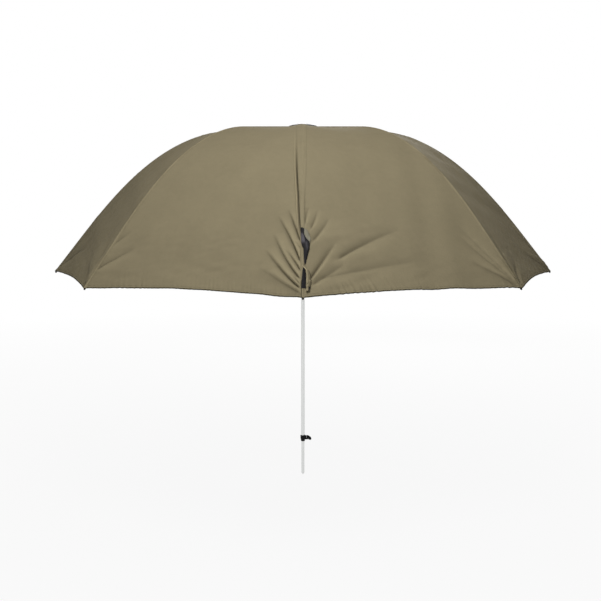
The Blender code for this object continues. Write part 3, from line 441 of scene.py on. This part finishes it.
def grid_piece(name, points, places, material, thickness=0, marks=(), closed=False):
    """A piece over a grid of points, with a UV map in metres, its marks, which are each point's distance
    from the edge and its painted light and shade, and live thickness where it is a sheet."""
    rows, columns = points.shape[:2]
    index = np.arange(rows * columns).reshape(rows, columns)
    if closed:
        index = np.concatenate([index, index[:, :1]], 1)
    corners = (index[:-1, :-1], index[1:, :-1], index[1:, 1:], index[:-1, 1:])
    faces = np.stack(corners, -1).reshape(-1, 4)
    mesh = bpy.data.meshes.new(name)
    mesh.from_pydata(points.reshape(-1, 3).tolist(), [], faces.tolist())
    layer = mesh.uv_layers.new(name="cloth")
    layer.data.foreach_set("uv", places.reshape(-1, 2)[faces.ravel()].astype(np.float32).ravel())
    # The second mark is painted light and shade: painted shade below 0, painted highlight above 0
    for title, values in zip(("edge_distance", "fold_shade"), marks):
        attribute = mesh.attributes.new(title, "FLOAT", "POINT")
        attribute.data.foreach_set("value", values.astype(np.float32).ravel())
    mesh.shade_smooth()
    ends = np.empty(2 * len(mesh.edges), np.int32)
    mesh.edges.foreach_get("vertices", ends)
    row, column = np.divmod(ends.reshape(-1, 2), columns)
    on_rim = (row == 0).all(1) | (row == rows - 1).all(1)
    if not closed:
        on_rim |= (column == 0).all(1) | (column == columns - 1).all(1)
    mesh.attributes.new("sharp_edge", "BOOLEAN", "EDGE").data.foreach_set("value", on_rim)
    mesh.materials.append(bpy.data.materials[material])
    piece = add_object(name, mesh)
    if thickness:
        wall = piece.modifiers.new("thickness", "SOLIDIFY")
        wall.thickness = thickness
        wall.offset = 0
    return piece


def front_side(gore):
    """Which rib of a gore is the front one: 0 for its first, 1 for its last, None on the other gores."""
    return {1: 0, RIB_COUNT: 1}.get(gore)


def crowded(count, front):
    """Shares across a gore, closer together towards the front seam where front names its side."""
    even = np.linspace(0, 1, count + 1)
    if front is None:
        return even
    near = 0.30 * even + 0.70 * even**2.2
    return near if front == 0 else 1 - near[::-1]


def draw_in(piece):
    """Give a gore's cloth its own copy of its mesh."""
    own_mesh(piece)


def flat_area(points):
    """Area of a grid of points."""
    first = np.cross(points[1:, :-1] - points[:-1, :-1], points[1:, 1:] - points[:-1, :-1])
    second = np.cross(points[1:, 1:] - points[:-1, :-1], points[:-1, 1:] - points[:-1, :-1])
    return (np.linalg.norm(first, axis=-1).sum() + np.linalg.norm(second, axis=-1).sum()) / 2


def node(tree, kind, inputs=None, **settings):
    """A node with its settings, values and links."""
    made = tree.nodes.new(kind)
    for key, value in settings.items():
        setattr(made, key, value)
    for key, value in (inputs or {}).items():
        if isinstance(value, bpy.types.NodeSocket):
            tree.links.new(value, made.inputs[key])
        else:
            made.inputs[key].default_value = value
    return made


def math_node(tree, operation, *values):
    return node(tree, "ShaderNodeMath", dict(enumerate(values)), operation=operation).outputs[0]


def product(tree, value, *factors):
    for factor in factors:
        value = math_node(tree, "MULTIPLY", value, factor)
    return value


def added(tree, value, *parts):
    """A value with others on top of it, each with its weight."""
    for part, weight in parts:
        value = math_node(tree, "MULTIPLY_ADD", part, weight, value)
    return value


def spread(tree, value, low, high, to_low, to_high):
    """A value carried from one range to another, and held at its ends."""
    values = {"Value": value, "From Min": low, "From Max": high, "To Min": to_low, "To Max": to_high}
    return node(tree, "ShaderNodeMapRange", values).outputs[0]


def noise(tree, place, scale, detail=3, roughness=0.5):
    values = {"Vector": place, "Scale": scale, "Detail": detail, "Roughness": roughness}
    return node(tree, "ShaderNodeTexNoise", values).outputs[0]


def scaled(tree, vector, factor):
    """A place or a colour times one factor."""
    return node(tree, "ShaderNodeVectorMath", {0: vector, "Scale": factor}, operation="SCALE").outputs[0]


def stretched(tree, place, factors):
    """A place with a factor for each of its axes."""
    return node(tree, "ShaderNodeVectorMath", {0: place, 1: factors}, operation="MULTIPLY").outputs[0]


def uv_place(tree):
    return node(tree, "ShaderNodeUVMap", uv_map="cloth").outputs[0]


def own_place(tree):
    return node(tree, "ShaderNodeTexCoord").outputs["Object"]


def mark(tree, title):
    return node(tree, "ShaderNodeAttribute", attribute_name=title).outputs["Fac"]


def new_group(name, **inputs):
    """A shader node group with its named inputs. An input without a value is a place."""
    group = bpy.data.node_groups.new(name, "ShaderNodeTree")
    for title, value in inputs.items():
        kind = "NodeSocketVector" if value is None else "NodeSocketFloat"
        socket = group.interface.new_socket(name=title, in_out="INPUT", socket_type=kind)
        if value is not None:
            socket.default_value = value
    return group, group.nodes.new("NodeGroupInput").outputs


def end_group(group, **outputs):
    """Give a shader node group its named outputs."""
    for title in outputs:
        group.interface.new_socket(name=title, in_out="OUTPUT", socket_type="NodeSocketFloat")
    ends = group.nodes.new("NodeGroupOutput").inputs
    for title, value in outputs.items():
        group.links.new(value, ends[title])


def weave_group():
    """Plain weave over a UV map in metres, with slubs in its threads."""
    group, given = new_group("Plain weave", Place=None, Pitch=0.0006)
    turns = math_node(group, "DIVIDE", math.tau, given["Pitch"])
    parts = node(group, "ShaderNodeSeparateXYZ", {0: scaled(group, given["Place"], turns)}).outputs
    threads = product(group, math_node(group, "SINE", parts[0]), math_node(group, "SINE", parts[1]))
    slubs = noise(group, stretched(group, given["Place"], (1800, 160, 1)), 1, 2)
    crossed = noise(group, stretched(group, given["Place"], (160, 1800, 1)), 1, 2)
    tone = spread(group, math_node(group, "ADD", slubs, crossed), 0.6, 1.4, -1, 1)
    end_group(group, Height=added(group, 0.5, (threads, 0.5)), Tone=tone)


def handled_group():
    """Uneven tone of cloth that has been folded, rained on and dried: soft patches and faint dust."""
    group, given = new_group("Handled cloth", Place=None)
    patches = spread(group, noise(group, given["Place"], 3.2, 4, 0.6), 0.3, 0.7, -1, 1)
    mottle = spread(group, noise(group, given["Place"], 34, 3, 0.6), 0.3, 0.7, -1, 1)
    warp = noise(group, given["Place"], 9, 3, 0.6)
    fine = noise(group, given["Place"], 46, 4, 0.65)
    end_group(group, Tone=added(group, patches, (mottle, 0.55)), Creasing=added(group, warp, (fine, 0.4)))


def stitch_group():
    """A row of stitches at a distance from an edge: where the thread lies, and the hollow that it pulls."""
    group, given = new_group("Stitches", Edge=0.0, Along=0.0, Offset=0.003)
    away = math_node(group, "ABSOLUTE", math_node(group, "SUBTRACT", given["Edge"], given["Offset"]))
    line = spread(group, away, 0.0003, 0.0008, 1, 0)
    hollow = spread(group, away, 0.0002, 0.0026, 1, 0)
    step = math_node(group, "FRACT", math_node(group, "DIVIDE", given["Along"], STITCH_PITCH))
    beat = math_node(group, "ABSOLUTE", math_node(group, "SUBTRACT", step, 0.5))
    dash = spread(group, beat, 0.30, 0.40, 1, 0)
    pulled = spread(group, beat, 0.2, 0.5, 0.7, 1)
    end_group(group, Thread=product(group, line, dash), Hollow=product(group, hollow, pulled))


def grain_group():
    """Fine spark-eroded grain of moulded plastic, with handling marks."""
    group, given = new_group("Mould grain", Place=None)
    fine = noise(group, given["Place"], 1500, 2, 0.6)
    marks = noise(group, given["Place"], 60, 4, 0.7)
    roughness = spread(group, marks, 0.3, 0.7, *GRAIN_ROUGHNESS)
    end_group(group, Height=added(group, fine, (marks, 0.3)), Roughness=roughness)


def drawn_group():
    """Drawn metal: fine lines along the length, faint rings and rub marks."""
    group, given = new_group("Drawn metal", Place=None, Smooth=0.24, Rough=0.42)
    lines = noise(group, stretched(group, given["Place"], (2600, 2600, 22)), 1, 3, 0.6)
    rubs = noise(group, stretched(group, given["Place"], (90, 90, 900)), 1, 4, 0.7)
    haze = noise(group, given["Place"], 14, 4, 0.6)
    worn = math_node(group, "ADD", haze, rubs)
    roughness = spread(group, worn, 0.7, 1.3, given["Smooth"], given["Rough"])
    tone = spread(group, haze, 0.3, 0.7, -1, 1)
    end_group(group, Height=added(group, lines, (rubs, 0.35)), Roughness=roughness, Tone=tone)


def new_material(name, **sockets):
    """The tree and shader of a new Principled material, its plain values set on the shader's own sockets."""
    material = bpy.data.materials.new(name)
    material.use_nodes = True
    shader = material.node_tree.nodes["Principled BSDF"]
    for title, value in sockets.items():
        shader.inputs[title.replace("_", " ")].default_value = value
    return material.node_tree, shader


def placed(tree, group, **inputs):
    return node(tree, "ShaderNodeGroup", inputs, node_tree=bpy.data.node_groups[group]).outputs


def finish(tree, shader, colour, tone, height, roughness=None):
    """Link a material's colour with its tone, its relief in metres, and its roughness where that varies."""
    tree.links.new(scaled(tree, tuple(colour)[:3], tone), shader.inputs["Base Color"])
    relief = node(tree, "ShaderNodeBump", {"Strength": 1, "Distance": 1, "Height": height})
    tree.links.new(relief.outputs[0], shader.inputs["Normal"])
    if roughness is not None:
        tree.links.new(roughness, shader.inputs["Roughness"])


def cloth_material(name, colour, pitch, stitches):
    """Coated cloth: weave, patches, painted shade in the folds and painted highlights on their ridges, and rows of
    stitches by their distance from the edge.
    """
    tree, shader = new_material(name, Roughness=0.85, Specular_IOR_Level=0.12)
    place, shade, edge = uv_place(tree), mark(tree, "fold_shade"), mark(tree, "edge_distance")
    along = node(tree, "ShaderNodeSeparateXYZ", {0: place}).outputs[1]
    weave = placed(tree, "Plain weave", Place=place, Pitch=pitch)
    handled = placed(tree, "Handled cloth", Place=place)
    tone = added(tree, 1, (handled["Tone"], 0.045), (weave["Tone"], 0.09))
    # The marks paint shade where they are below 0 and highlights where they are above 0
    tone = product(tree, tone, spread(tree, shade, -1, 0, 0.18, 1), spread(tree, shade, 0, 4, 1, 2.40))
    height = added(tree, 0, (weave["Height"], 0.00012), (handled["Creasing"], 0.0018))
    for offset in stitches:
        row = placed(tree, "Stitches", Edge=edge, Along=along, Offset=offset)
        # Painted shade in the hollow that each stitch pulls
        tone = product(tree, tone, spread(tree, row["Hollow"], 0, 1, 1, 0.80))
        tone = added(tree, tone, (row["Thread"], 0.12))
        height = added(tree, height, (row["Hollow"], -0.0006), (row["Thread"], 0.0003))
    finish(tree, shader, colour, tone, height)


def webbing_material(name, colour):
    """Woven tape, with a painted grey sheen where its marks are above 0."""
    tree, shader = new_material(name, Roughness=0.5, Specular_IOR_Level=0.12)
    weave = placed(tree, "Plain weave", Place=uv_place(tree), Pitch=0.0016)
    tone = added(tree, 0.7, (weave["Height"], 0.7), (weave["Tone"], 0.2))
    # Painted sheen from the marks
    tone = product(tree, tone, spread(tree, mark(tree, "fold_shade"), 0, 1, 1, 11))
    finish(tree, shader, colour, tone, product(tree, weave["Height"], 0.0004))


def plastic_material(name, colour):
    """Black moulded plastic with a fine grain."""
    tree, shader = new_material(name, Specular_IOR_Level=0.12)
    grain = placed(tree, "Mould grain", Place=own_place(tree))
    tone = spread(tree, grain["Roughness"], *GRAIN_ROUGHNESS, 0.85, 1.25)
    finish(tree, shader, colour, tone, product(tree, grain["Height"], 0.00008), grain["Roughness"])


def metal_material(name, colour, smooth, rough):
    """Bare drawn metal."""
    tree, shader = new_material(name, Metallic=1)
    drawn = placed(tree, "Drawn metal", Place=own_place(tree), Smooth=smooth, Rough=rough)
    tone = added(tree, 1, (drawn["Tone"], 0.03))
    finish(tree, shader, colour, tone, product(tree, drawn["Height"], 0.00003), drawn["Roughness"])


def rod_material(name, colour):
    """Pultruded glass fibre: fine lengthwise fibres under a resin skin."""
    tree, shader = new_material(name, Roughness=0.34, Coat_Weight=0.25, Coat_Roughness=0.2)
    fibres = noise(tree, own_place(tree), 420, 4, 0.7)
    tone = spread(tree, fibres, 0.3, 0.7, 0.7, 1.5)
    finish(tree, shader, colour, tone, product(tree, fibres, 0.00006))


def make_materials(canopy, fittings):
    """The shared node groups and every finish, by its name."""
    for build in (weave_group, handled_group, stitch_group, grain_group, drawn_group):
        build()
    pitch = canopy.thread_pitch
    cloth_material("gore_cloth", canopy.cloth_colour, pitch, (HEM_STITCHES,))
    cloth_material("seam_cloth", canopy.cloth_colour, pitch, (SEAM_STITCHES,))
    cloth_material("binding_cloth", canopy.binding_colour, pitch * 1.5, ())
    cloth_material("tab_cloth", canopy.tab_colour, pitch, ())
    webbing_material("strap_webbing", canopy.webbing_colour)
    plastic_material("moulded_plastic", fittings.plastic_colour)
    metal_material("pole_aluminium", fittings.metal_colour, 0.24, 0.40)
    metal_material("spring_steel", fittings.steel_colour, 0.26, 0.46)
    rod_material("glass_fibre_rod", fittings.rod_colour)


class MakeFinishes(bpy.types.Operator):
    """Make the finishes and put them on the parts that keep their solid"""

    bl_idname = "umbrella.make_finishes"
    bl_label = "Finishes"

    def execute(self, context):
        scene = context.scene
        make_materials(scene.umbrella_canopy, scene.umbrella_fittings)
        kinds = {
            "pole_aluminium": ("lower_pole", "upper_pole", "pole_point"),
            "moulded_plastic": ("clamp_collar", "clamp_screw", "crown", "runner", "rib_tip"),
            "glass_fibre_rod": ("rib_inner", "rib_outer"),
            "spring_steel": ("stretcher", "open_catch"),
        }
        for name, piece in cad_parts.items():
            stem = name.rstrip("0123456789").rstrip("_")
            for finish_name, stems in kinds.items():
                if stem in stems:
                    piece.material_slots[0].material = bpy.data.materials[finish_name]
        return {"FINISHED"}


class MakeSeams(bpy.types.Operator):
    """Make the sewn seams over the ribs and the tape that binds the hem"""

    bl_idname = "umbrella.make_seams"
    bl_label = "Seams and hem"

    def execute(self, context):
        canopy = context.scene.umbrella_canopy
        for number in range(1, RIB_COUNT + 1):
            self.seam(canopy, number, "inner", SEAM_STARTS, BEND_ARC)
            self.seam(canopy, number, "outer", BEND_ARC, HEM_ARC + SEAM_OVERRUN)
            self.binding(canopy, number)
        return {"FINISHED"}

    def seam(self, canopy, number, part, start, end):
        """A strip of doubled cloth over a rib, folded to one side, or the wide band over the front rib."""
        arcs = np.linspace(start, end, max(2, round((end - start) / SEAM_ROW)) + 1)[:, None]
        if number == 1:
            left, right = (np.interp(arcs, *side) for side in (FRONT_BAND_LEFT, FRONT_BAND_RIGHT))
            shares = np.linspace(0, 1, 29)[None]
        else:
            folded_left = number > RIB_COUNT // 2
            left = (SEAM_FOLD if folded_left else canopy.seam_width - SEAM_FOLD) + 0 * arcs
            right = canopy.seam_width - left
            shares = np.linspace(0, 1, 14)[None]
        across = -left + (left + right) * shares
        arcs = arcs + 0 * across
        points, shade = seam_points(number, across, np.minimum(arcs, HEM_ARC))
        points = points + grid_normals(points) * (canopy.cloth_thickness * SEAM_LIFT)
        edge = np.minimum(across + left, right - across)
        if number == 1:
            # Painted shade along the left edge of the front band near the hem
            rolled = bell(across + left - 0.002, 0.002) * ease(arcs, HEM_ARC - 0.09, HEM_ARC - 0.04)
            shade = np.minimum(shade, -0.9 * rolled)
        else:
            # A painted highlight along the seams over the other ribs
            shade = shade + SEAM_HIGHLIGHT
        name, places = f"seam_{part}_{number}", np.stack([across, arcs], -1)
        piece = grid_piece(name, points, places, "seam_cloth", canopy.cloth_thickness, (edge, shade))
        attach(piece, f"rib_{number}" if part == "inner" else f"rib_outer_{number}")

    def binding(self, canopy, number):
        """A folded tape round the cut edge of a gore."""
        shares = np.linspace(0, 1, 161)
        above, hem = (
            cloth_points(number, shares, np.full(shares.shape, arc))[0] for arc in (HEM_ARC - 0.004, HEM_ARC)
        )
        down = unit(hem - above)
        out = unit(np.cross(down, np.gradient(hem, axis=0)))
        half_width, half_height = canopy.binding_width / 2, canopy.cloth_thickness * 1.6
        centre = hem - down * (half_width - 0.001)
        turns = np.linspace(0, math.tau, 10, endpoint=False)
        rings = centre[:, None] + down[:, None] * np.cos(turns)[None, :, None] * half_width
        rings = rings + out[:, None] * np.sin(turns)[None, :, None] * half_height
        lengths = np.concatenate(([0], np.cumsum(np.linalg.norm(np.diff(hem, axis=0), axis=-1))))
        places = np.stack(np.broadcast_arrays(turns[None] * half_width, lengths[:, None]), -1)
        piece = grid_piece(f"hem_binding_{number}", rings, places, "binding_cloth", closed=True)
        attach(piece, f"rib_outer_{number}")
        draw_in(piece)


class MakeCanopy(bpy.types.Operator):
    """Make the eight gores, each split where its rib bends"""

    bl_idname = "umbrella.make_canopy"
    bl_label = "Canopy"

    def execute(self, context):
        canopy = context.scene.umbrella_canopy
        for number in range(1, RIB_COUNT + 1):
            self.gore(canopy, number, "inner", f"rib_{number}", HUB_ARC, BEND_ARC)
            self.gore(canopy, number, "outer", f"rib_outer_{number}", BEND_ARC, HEM_ARC, LAP_LENGTH)
        return {"FINISHED"}

    def gore(self, canopy, number, part, body, start, end, lap=0):
        """One part of a gore, with its lap under the part before."""
        front = front_side(number)
        grid = PLAIN_GRID if front is None else FRONT_GRID
        shares = crowded(grid["across"], front)[None]
        share, arc = np.broadcast_arrays(shares, np.linspace(start, end, grid[part])[:, None])
        points, shade = cloth_points(number, share, arc)
        area = flat_area(points)
        if lap:
            under = np.linspace(start - lap, start - LAP_GAP, LAP_ROWS)[:, None]
            tucked, under = np.broadcast_arrays(LAP_INSET + (1 - 2 * LAP_INSET) * shares, under)
            lap_points, lap_shade = cloth_points(number, tucked, under, -LAP_DROP)
            points, shade = np.concatenate([lap_points, points]), np.concatenate([lap_shade, shade])
            share, arc = np.concatenate([tucked, share]), np.concatenate([under, arc])
            area += flat_area(lap_points)
        places = np.stack([(share - 0.5) * chord_at(arc), arc], -1)
        name, marks = f"gore_{part}_cloth_{number}", (HEM_ARC - arc, shade)
        piece = grid_piece(name, points, places, "gore_cloth", canopy.cloth_thickness, marks)
        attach(piece, body)
        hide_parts(f"gore_{part}_{number}")
        draw_in(piece)


class MakeCrownPatch(bpy.types.Operator):
    """Make the round patch that covers the seams under the cap"""

    bl_idname = "umbrella.make_crown_patch"
    bl_label = "Crown patch"

    def execute(self, context):
        canopy = context.scene.umbrella_canopy
        radii = np.concatenate([np.linspace(*rings) for rings in PATCH_RINGS])[:, None]
        angles = FRONT_ANGLE + np.linspace(0, math.tau, 192, endpoint=False)[None]
        beside = np.abs((angles - FRONT_ANGLE + GORE_ANGLE / 2) % GORE_ANGLE - GORE_ANGLE / 2) * radii
        over_seam = ease(beside, 0.012, 0.007) * ease(radii, SEAM_STARTS, 0.0745)
        level = on_line(radii)[1] + canopy.cloth_thickness + PATCH_SEAT
        level = level + (0.0010 + 0.0002 * ripples(beside, 5, 0.004, 0.009)) * over_seam
        points = np.stack(np.broadcast_arrays(radii * np.cos(angles), radii * np.sin(angles), level), -1)
        edge = PATCH_RADIUS - radii + 0 * angles
        name, places, marks = "crown_patch_cloth", points[..., :2], (edge, 0 * edge)
        piece = grid_piece(name, points, places, "seam_cloth", canopy.cloth_thickness, marks, closed=True)
        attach(piece, "upper_pole")
        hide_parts("crown_patch")
        return {"FINISHED"}


def arched(along, across):
    """1 in the middle of a band and 0 at its ends and edges."""
    return np.sin(math.pi * along) * np.sin(math.pi * across) ** 0.6


# The form of each band beside the front seam: its lift off the cloth, and its painted light and shade,
# which is more than 0 where a highlight or sheen is painted and less than 0 where shade is painted
def loop_form(along, across):
    """Arched and a little twisted, with a painted grey sheen on its left half and in its middle."""
    twist = 0.004 * np.sin(math.tau * along) * (across - 0.5)
    # Painted sheen on the left half, and in the middle
    grey = ease(along, 0.12, 0.24) * ease(along, 0.50, 0.38) * ease(across, 0.38, 0.28)
    middle = 0.6 * ease(along, 0.40, 0.48) * ease(along, 0.72, 0.60) * bell(across - 0.45, 0.16)
    return 0.0035 + 0.010 * arched(along, across) + twist, np.maximum(grey, middle)


def tab_form(along, across):
    """Arched over the loop, with a painted highlight at its lower right, and a little darkened elsewhere."""
    # Painted highlight at the lower right
    gleam = bell(along - 0.85, 0.25) * bell(across - 0.75, 0.2)
    return 0.0060 + 0.010 * arched(0.1 + 0.7 * along, across) * (1 - 0.5 * across), 1.3 * gleam - 0.25


def lining_form(along, across):
    """Flat under the flap."""
    return 0.0022 + 0.0010 * across + 0 * along, 0 * along * across


def flap_form(along, across):
    """Low at its sewn edge on the right, and rolled up to its free edge on the left, which has a painted highlight;
    painted shade lies in a line down its middle and along its sewn edge.
    """
    lift = (0.0075 * (1 - across) ** 1.5 + 0.0018 * np.sin(math.pi * across)) * ease(along, 0, 0.25)
    # Painted highlight on the free edge, and painted shade down the middle and along the sewn edge
    pale = (1.0 + 2.5 * bell(along - 0.12, 0.10)) * ease(across, 0.42, 0.22)
    painted_shade = 0.35 * bell(across - 0.55, 0.10) + 0.95 * ease(across, 0.78, 0.90)
    return 0.0040 + lift, pale - painted_shade * ease(along, 0.15, 0.35)


def tack_form(along, across):
    """Rounded across, on the flap's lower corner."""
    return 0.0072 + 0.0010 * np.sin(math.pi * across) + 0 * along, 0 * along * across


class MakeStraps(bpy.types.Operator):
    """Make the webbing loop and the lined flap beside the front seam"""

    bl_idname = "umbrella.make_straps"
    bl_label = "Straps"

    def execute(self, context):
        cloth = context.scene.umbrella_canopy.cloth_thickness
        tab, _ = self.band("strap_tab", "tab_cloth", cloth, tab_form)
        loop, area = self.band("strap_loop", "strap_webbing", WEBBING_THICKNESS, loop_form)
        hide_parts("strap_upper")
        self.declare(loop, area, [tab])
        lining, _ = self.band("flap_lining", "strap_webbing", cloth, lining_form)
        tack, _ = self.band("bar_tack", "strap_webbing", TACK_THICKNESS, tack_form)
        flap, area = self.band("strap_flap", "seam_cloth", cloth, flap_form)
        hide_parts("strap_lower")
        self.declare(flap, area, [lining, tack])
        return {"FINISHED"}

    def band(self, name, material, thickness, form):
        """A band over the cloth beside the front seam, with an edge at each distance from it, and its area."""
        (top, foot), left, right = BANDS[name]
        along, across = np.linspace(0, 1, 64)[:, None], np.linspace(0, 1, 17)[None]
        edges = [np.interp(along, np.linspace(0, 1, len(side)), side) for side in (left, right)]
        width = edges[1] - edges[0]
        place = edges[0] + width * across
        arc = HEM_ARC - top + (top - foot) * along + 0 * across
        points, _ = seam_points(1, place, arc)
        lift, shade = form(along, across)
        points = points + grid_normals(points) * lift[..., None]
        marks = (np.minimum(across, 1 - across) * width, shade)
        piece = grid_piece(name, points, np.stack([place, arc], -1), material, thickness, marks)
        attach(piece, "rib_outer_1")
        return piece, flat_area(points)

    def declare(self, piece, area, with_pieces):
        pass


def start_circle(name, sides, radius, place, turn=(0, 0, 0)):
    """A filled circle at its size and place, open in edit mode with all of it selected."""
    bpy.ops.object.select_all(action="DESELECT")
    bpy.ops.mesh.primitive_circle_add(
        vertices=sides, radius=radius, fill_type="NGON", location=place, rotation=turn
    )
    piece = bpy.context.object
    piece.name = piece.data.name = name
    bpy.ops.object.transform_apply(location=True, rotation=True, scale=True)
    bpy.ops.object.mode_set(mode="EDIT")
    bpy.ops.mesh.select_all(action="SELECT")
    return piece


def face_outward():
    """Select all of a piece in edit mode and turn its faces outward."""
    bpy.ops.mesh.select_all(action="SELECT")
    bpy.ops.mesh.normals_make_consistent(inside=False)


def pick_faces(piece, wanted):
    """Select the faces of a piece in edit mode by their normal."""
    bpy.ops.mesh.select_mode(type="FACE")
    bpy.ops.mesh.select_all(action="DESELECT")
    bpy.ops.object.mode_set(mode="OBJECT")
    for face in piece.data.polygons:
        face.select = wanted(face.normal)
    bpy.ops.object.mode_set(mode="EDIT")


def end_shaping(piece, angle, material):
    """Close edit mode, smooth the edges below an angle, and give the piece its material."""
    face_outward()
    bpy.ops.object.mode_set(mode="OBJECT")
    bpy.ops.object.shade_smooth_by_angle(angle=math.radians(angle))
    piece.data.materials.append(bpy.data.materials[material])


class MakeCap(bpy.types.Operator):
    """Make the domed crown cap with the stem that plugs into the crown"""

    bl_idname = "umbrella.make_cap"
    bl_label = "Crown cap"

    def execute(self, context):
        rim, stem_top = (float(on_line(radius)[1]) + CAP_SEAT for radius in (CAP_RADIUS, CAP_STEM_RADIUS))
        cap = start_circle("crown_cap_dome", 96, CAP_RADIUS, (0, 0, rim))
        bpy.ops.mesh.extrude_region_move(TRANSFORM_OT_translate={"value": (0, 0, CAP_RIM)})
        for level in range(1, CAP_LEVELS + 1):
            before, after = 1 - (level - 1) / (CAP_LEVELS + 0.5), 1 - level / (CAP_LEVELS + 0.5)
            rise = CAP_RISE * (before**2 - after**2)
            bpy.ops.mesh.extrude_region_move(TRANSFORM_OT_translate={"value": (0, 0, rise)})
            bpy.ops.transform.resize(value=(after / before, after / before, 1))
        face_outward()
        pick_faces(cap, lambda normal: normal.z < -0.9)
        bpy.ops.mesh.inset(thickness=CAP_RADIUS - CAP_STEM_RADIUS, use_even_offset=True)
        bpy.ops.transform.translate(value=(0, 0, stem_top - rim))
        bpy.ops.mesh.extrude_region_move(TRANSFORM_OT_translate={"value": (0, 0, -CAP_STEM_LENGTH)})
        end_shaping(cap, 35, "moulded_plastic")
        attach(cap, "upper_pole")
        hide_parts("crown_cap")
        return {"FINISHED"}


class MakeFittings(bpy.types.Operator):
    """Make the ring wire that threads the stretchers at the runner"""

    bl_idname = "umbrella.make_fittings"
    bl_label = "Ring wire"

    def execute(self, context):
        place, turn = (RING_RADIUS, 0, RING_HEIGHT), (math.radians(90), 0, 0)
        wire = start_circle("runner_ring_wire", 12, RING_WIRE_RADIUS, place, turn)
        bpy.ops.mesh.spin(steps=72, angle=RING_TURN, center=(0, 0, RING_HEIGHT), axis=(0, 0, 1))
        end_shaping(wire, 40, "spring_steel")
        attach(wire, "runner")
        return {"FINISHED"}


def seen_rays(tree):
    """1 for the rays that show the background: to the camera, and in gloss and glass."""
    rays = node(tree, "ShaderNodeLightPath").outputs
    seen = math_node(tree, "MAXIMUM", rays["Is Camera Ray"], rays["Is Glossy Ray"])
    return math_node(tree, "MAXIMUM", seen, rays["Is Transmission Ray"])


def show(tree, output, share, lit, shown):
    """Show a share of one shader over another, which takes or gives the light."""
    mixed = node(tree, "ShaderNodeMixShader", {0: share, 1: lit.outputs[0], 2: shown.outputs[0]})
    tree.links.new(mixed.outputs[0], tree.nodes[output].inputs["Surface"])


class MakeStage(bpy.types.Operator):
    """Make the pale floor, the soft studio light and the camera"""

    bl_idname = "umbrella.make_stage"
    bl_label = "Stage"

    def execute(self, context):
        stage = context.scene.umbrella_stage
        self.floor()
        self.sky(context, stage)
        for name, (size, place, target) in LAMPS.items():
            self.lamp(name, size, getattr(stage, f"{name}_power"), place, target)
        self.camera(context, stage)
        context.scene.view_settings.view_transform = "Standard"
        return {"FINISHED"}

    def floor(self):
        bpy.ops.object.select_all(action="DESELECT")
        bpy.ops.mesh.primitive_plane_add(size=FLOOR_SIZE, location=(0, 0, 0))
        floor = bpy.context.object
        floor.name = "floor"
        tree, shader = new_material("pale_floor", Base_Color=FLOOR_COLOUR, Roughness=0.9, Specular_IOR_Level=0.1)
        white = node(tree, "ShaderNodeEmission", {"Color": WHITE, "Strength": 1})
        away = node(tree, "ShaderNodeVectorMath", {0: own_place(tree)}, operation="LENGTH").outputs["Value"]
        paleness = spread(tree, away, FLOOR_NEAR, FLOOR_FAR, FLOOR_NEAR_LEVEL, 1)
        show(tree, "Material Output", product(tree, seen_rays(tree), paleness), shader, white)
        floor.data.materials.append(bpy.data.materials["pale_floor"])

    def sky(self, context, stage):
        """Plain dim light from all sides, behind a white background."""
        world = bpy.data.worlds.new("studio")
        world.use_nodes = True
        context.scene.world = world
        tree = world.node_tree
        plain = node(tree, "ShaderNodeBackground", {"Color": WHITE, "Strength": stage.sky_level})
        shown = node(tree, "ShaderNodeBackground", {"Color": WHITE, "Strength": 1})
        show(tree, "World Output", seen_rays(tree), plain, shown)

    def lamp(self, name, size, power, place, target):
        """A soft square lamp at a place, turned to its target."""
        data = bpy.data.lights.new(name, "AREA")
        data.shape = "SQUARE"
        data.size = size
        data.energy = power
        add_object(name, data, place, (Vector(place) - Vector(target)).to_track_quat("Z", "Y").to_euler())

    def camera(self, context, stage):
        data = bpy.data.cameras.new("camera")
        data.sensor_width = SENSOR_WIDTH
        data.lens = stage.camera_lens
        data.shift_x = CAMERA_SHIFT
        place, turn = (0, -stage.camera_distance, stage.camera_height), (math.radians(90) - stage.camera_tilt, 0, 0)
        context.scene.camera = add_object("camera", data, place, turn)


class UmbrellaPanel(bpy.types.Panel):
    """Lists the settings and steps of the umbrella"""

    bl_idname = "VIEW3D_PT_umbrella"
    bl_label = "Fishing umbrella"
    bl_space_type = "VIEW_3D"
    bl_region_type = "UI"
    bl_category = "Umbrella"

    def draw(self, context):
        scene = context.scene
        for settings in (scene.umbrella_canopy, scene.umbrella_fittings, scene.umbrella_stage):
            box = self.layout.box()
            for name in type(settings).__annotations__:
                box.prop(settings, name)
        for step in STEPS:
            self.layout.operator(step.bl_idname)


SETTINGS = {
    "umbrella_canopy": CanopySettings,
    "umbrella_fittings": FittingSettings,
    "umbrella_stage": StageSettings,
}
STEPS = (MakeFinishes, MakeSeams, MakeCanopy, MakeCrownPatch, MakeCap, MakeStraps, MakeFittings, MakeStage)


def register():
    for name, settings in SETTINGS.items():
        bpy.utils.register_class(settings)
        setattr(bpy.types.Scene, name, PointerProperty(type=settings))
    for step in (*STEPS, UmbrellaPanel):
        bpy.utils.register_class(step)


def unregister():
    for step in reversed((*STEPS, UmbrellaPanel)):
        bpy.utils.unregister_class(step)
    for name, settings in reversed(SETTINGS.items()):
        delattr(bpy.types.Scene, name)
        bpy.utils.unregister_class(settings)


def main():
    register()
    bpy.ops.umbrella.make_finishes()
    bpy.ops.umbrella.make_seams()
    bpy.ops.umbrella.make_canopy()
    bpy.ops.umbrella.make_crown_patch()
    bpy.ops.umbrella.make_cap()
    bpy.ops.umbrella.make_straps()
    bpy.ops.umbrella.make_fittings()
    bpy.ops.umbrella.make_stage()


if __name__ == "__main__":
    main()
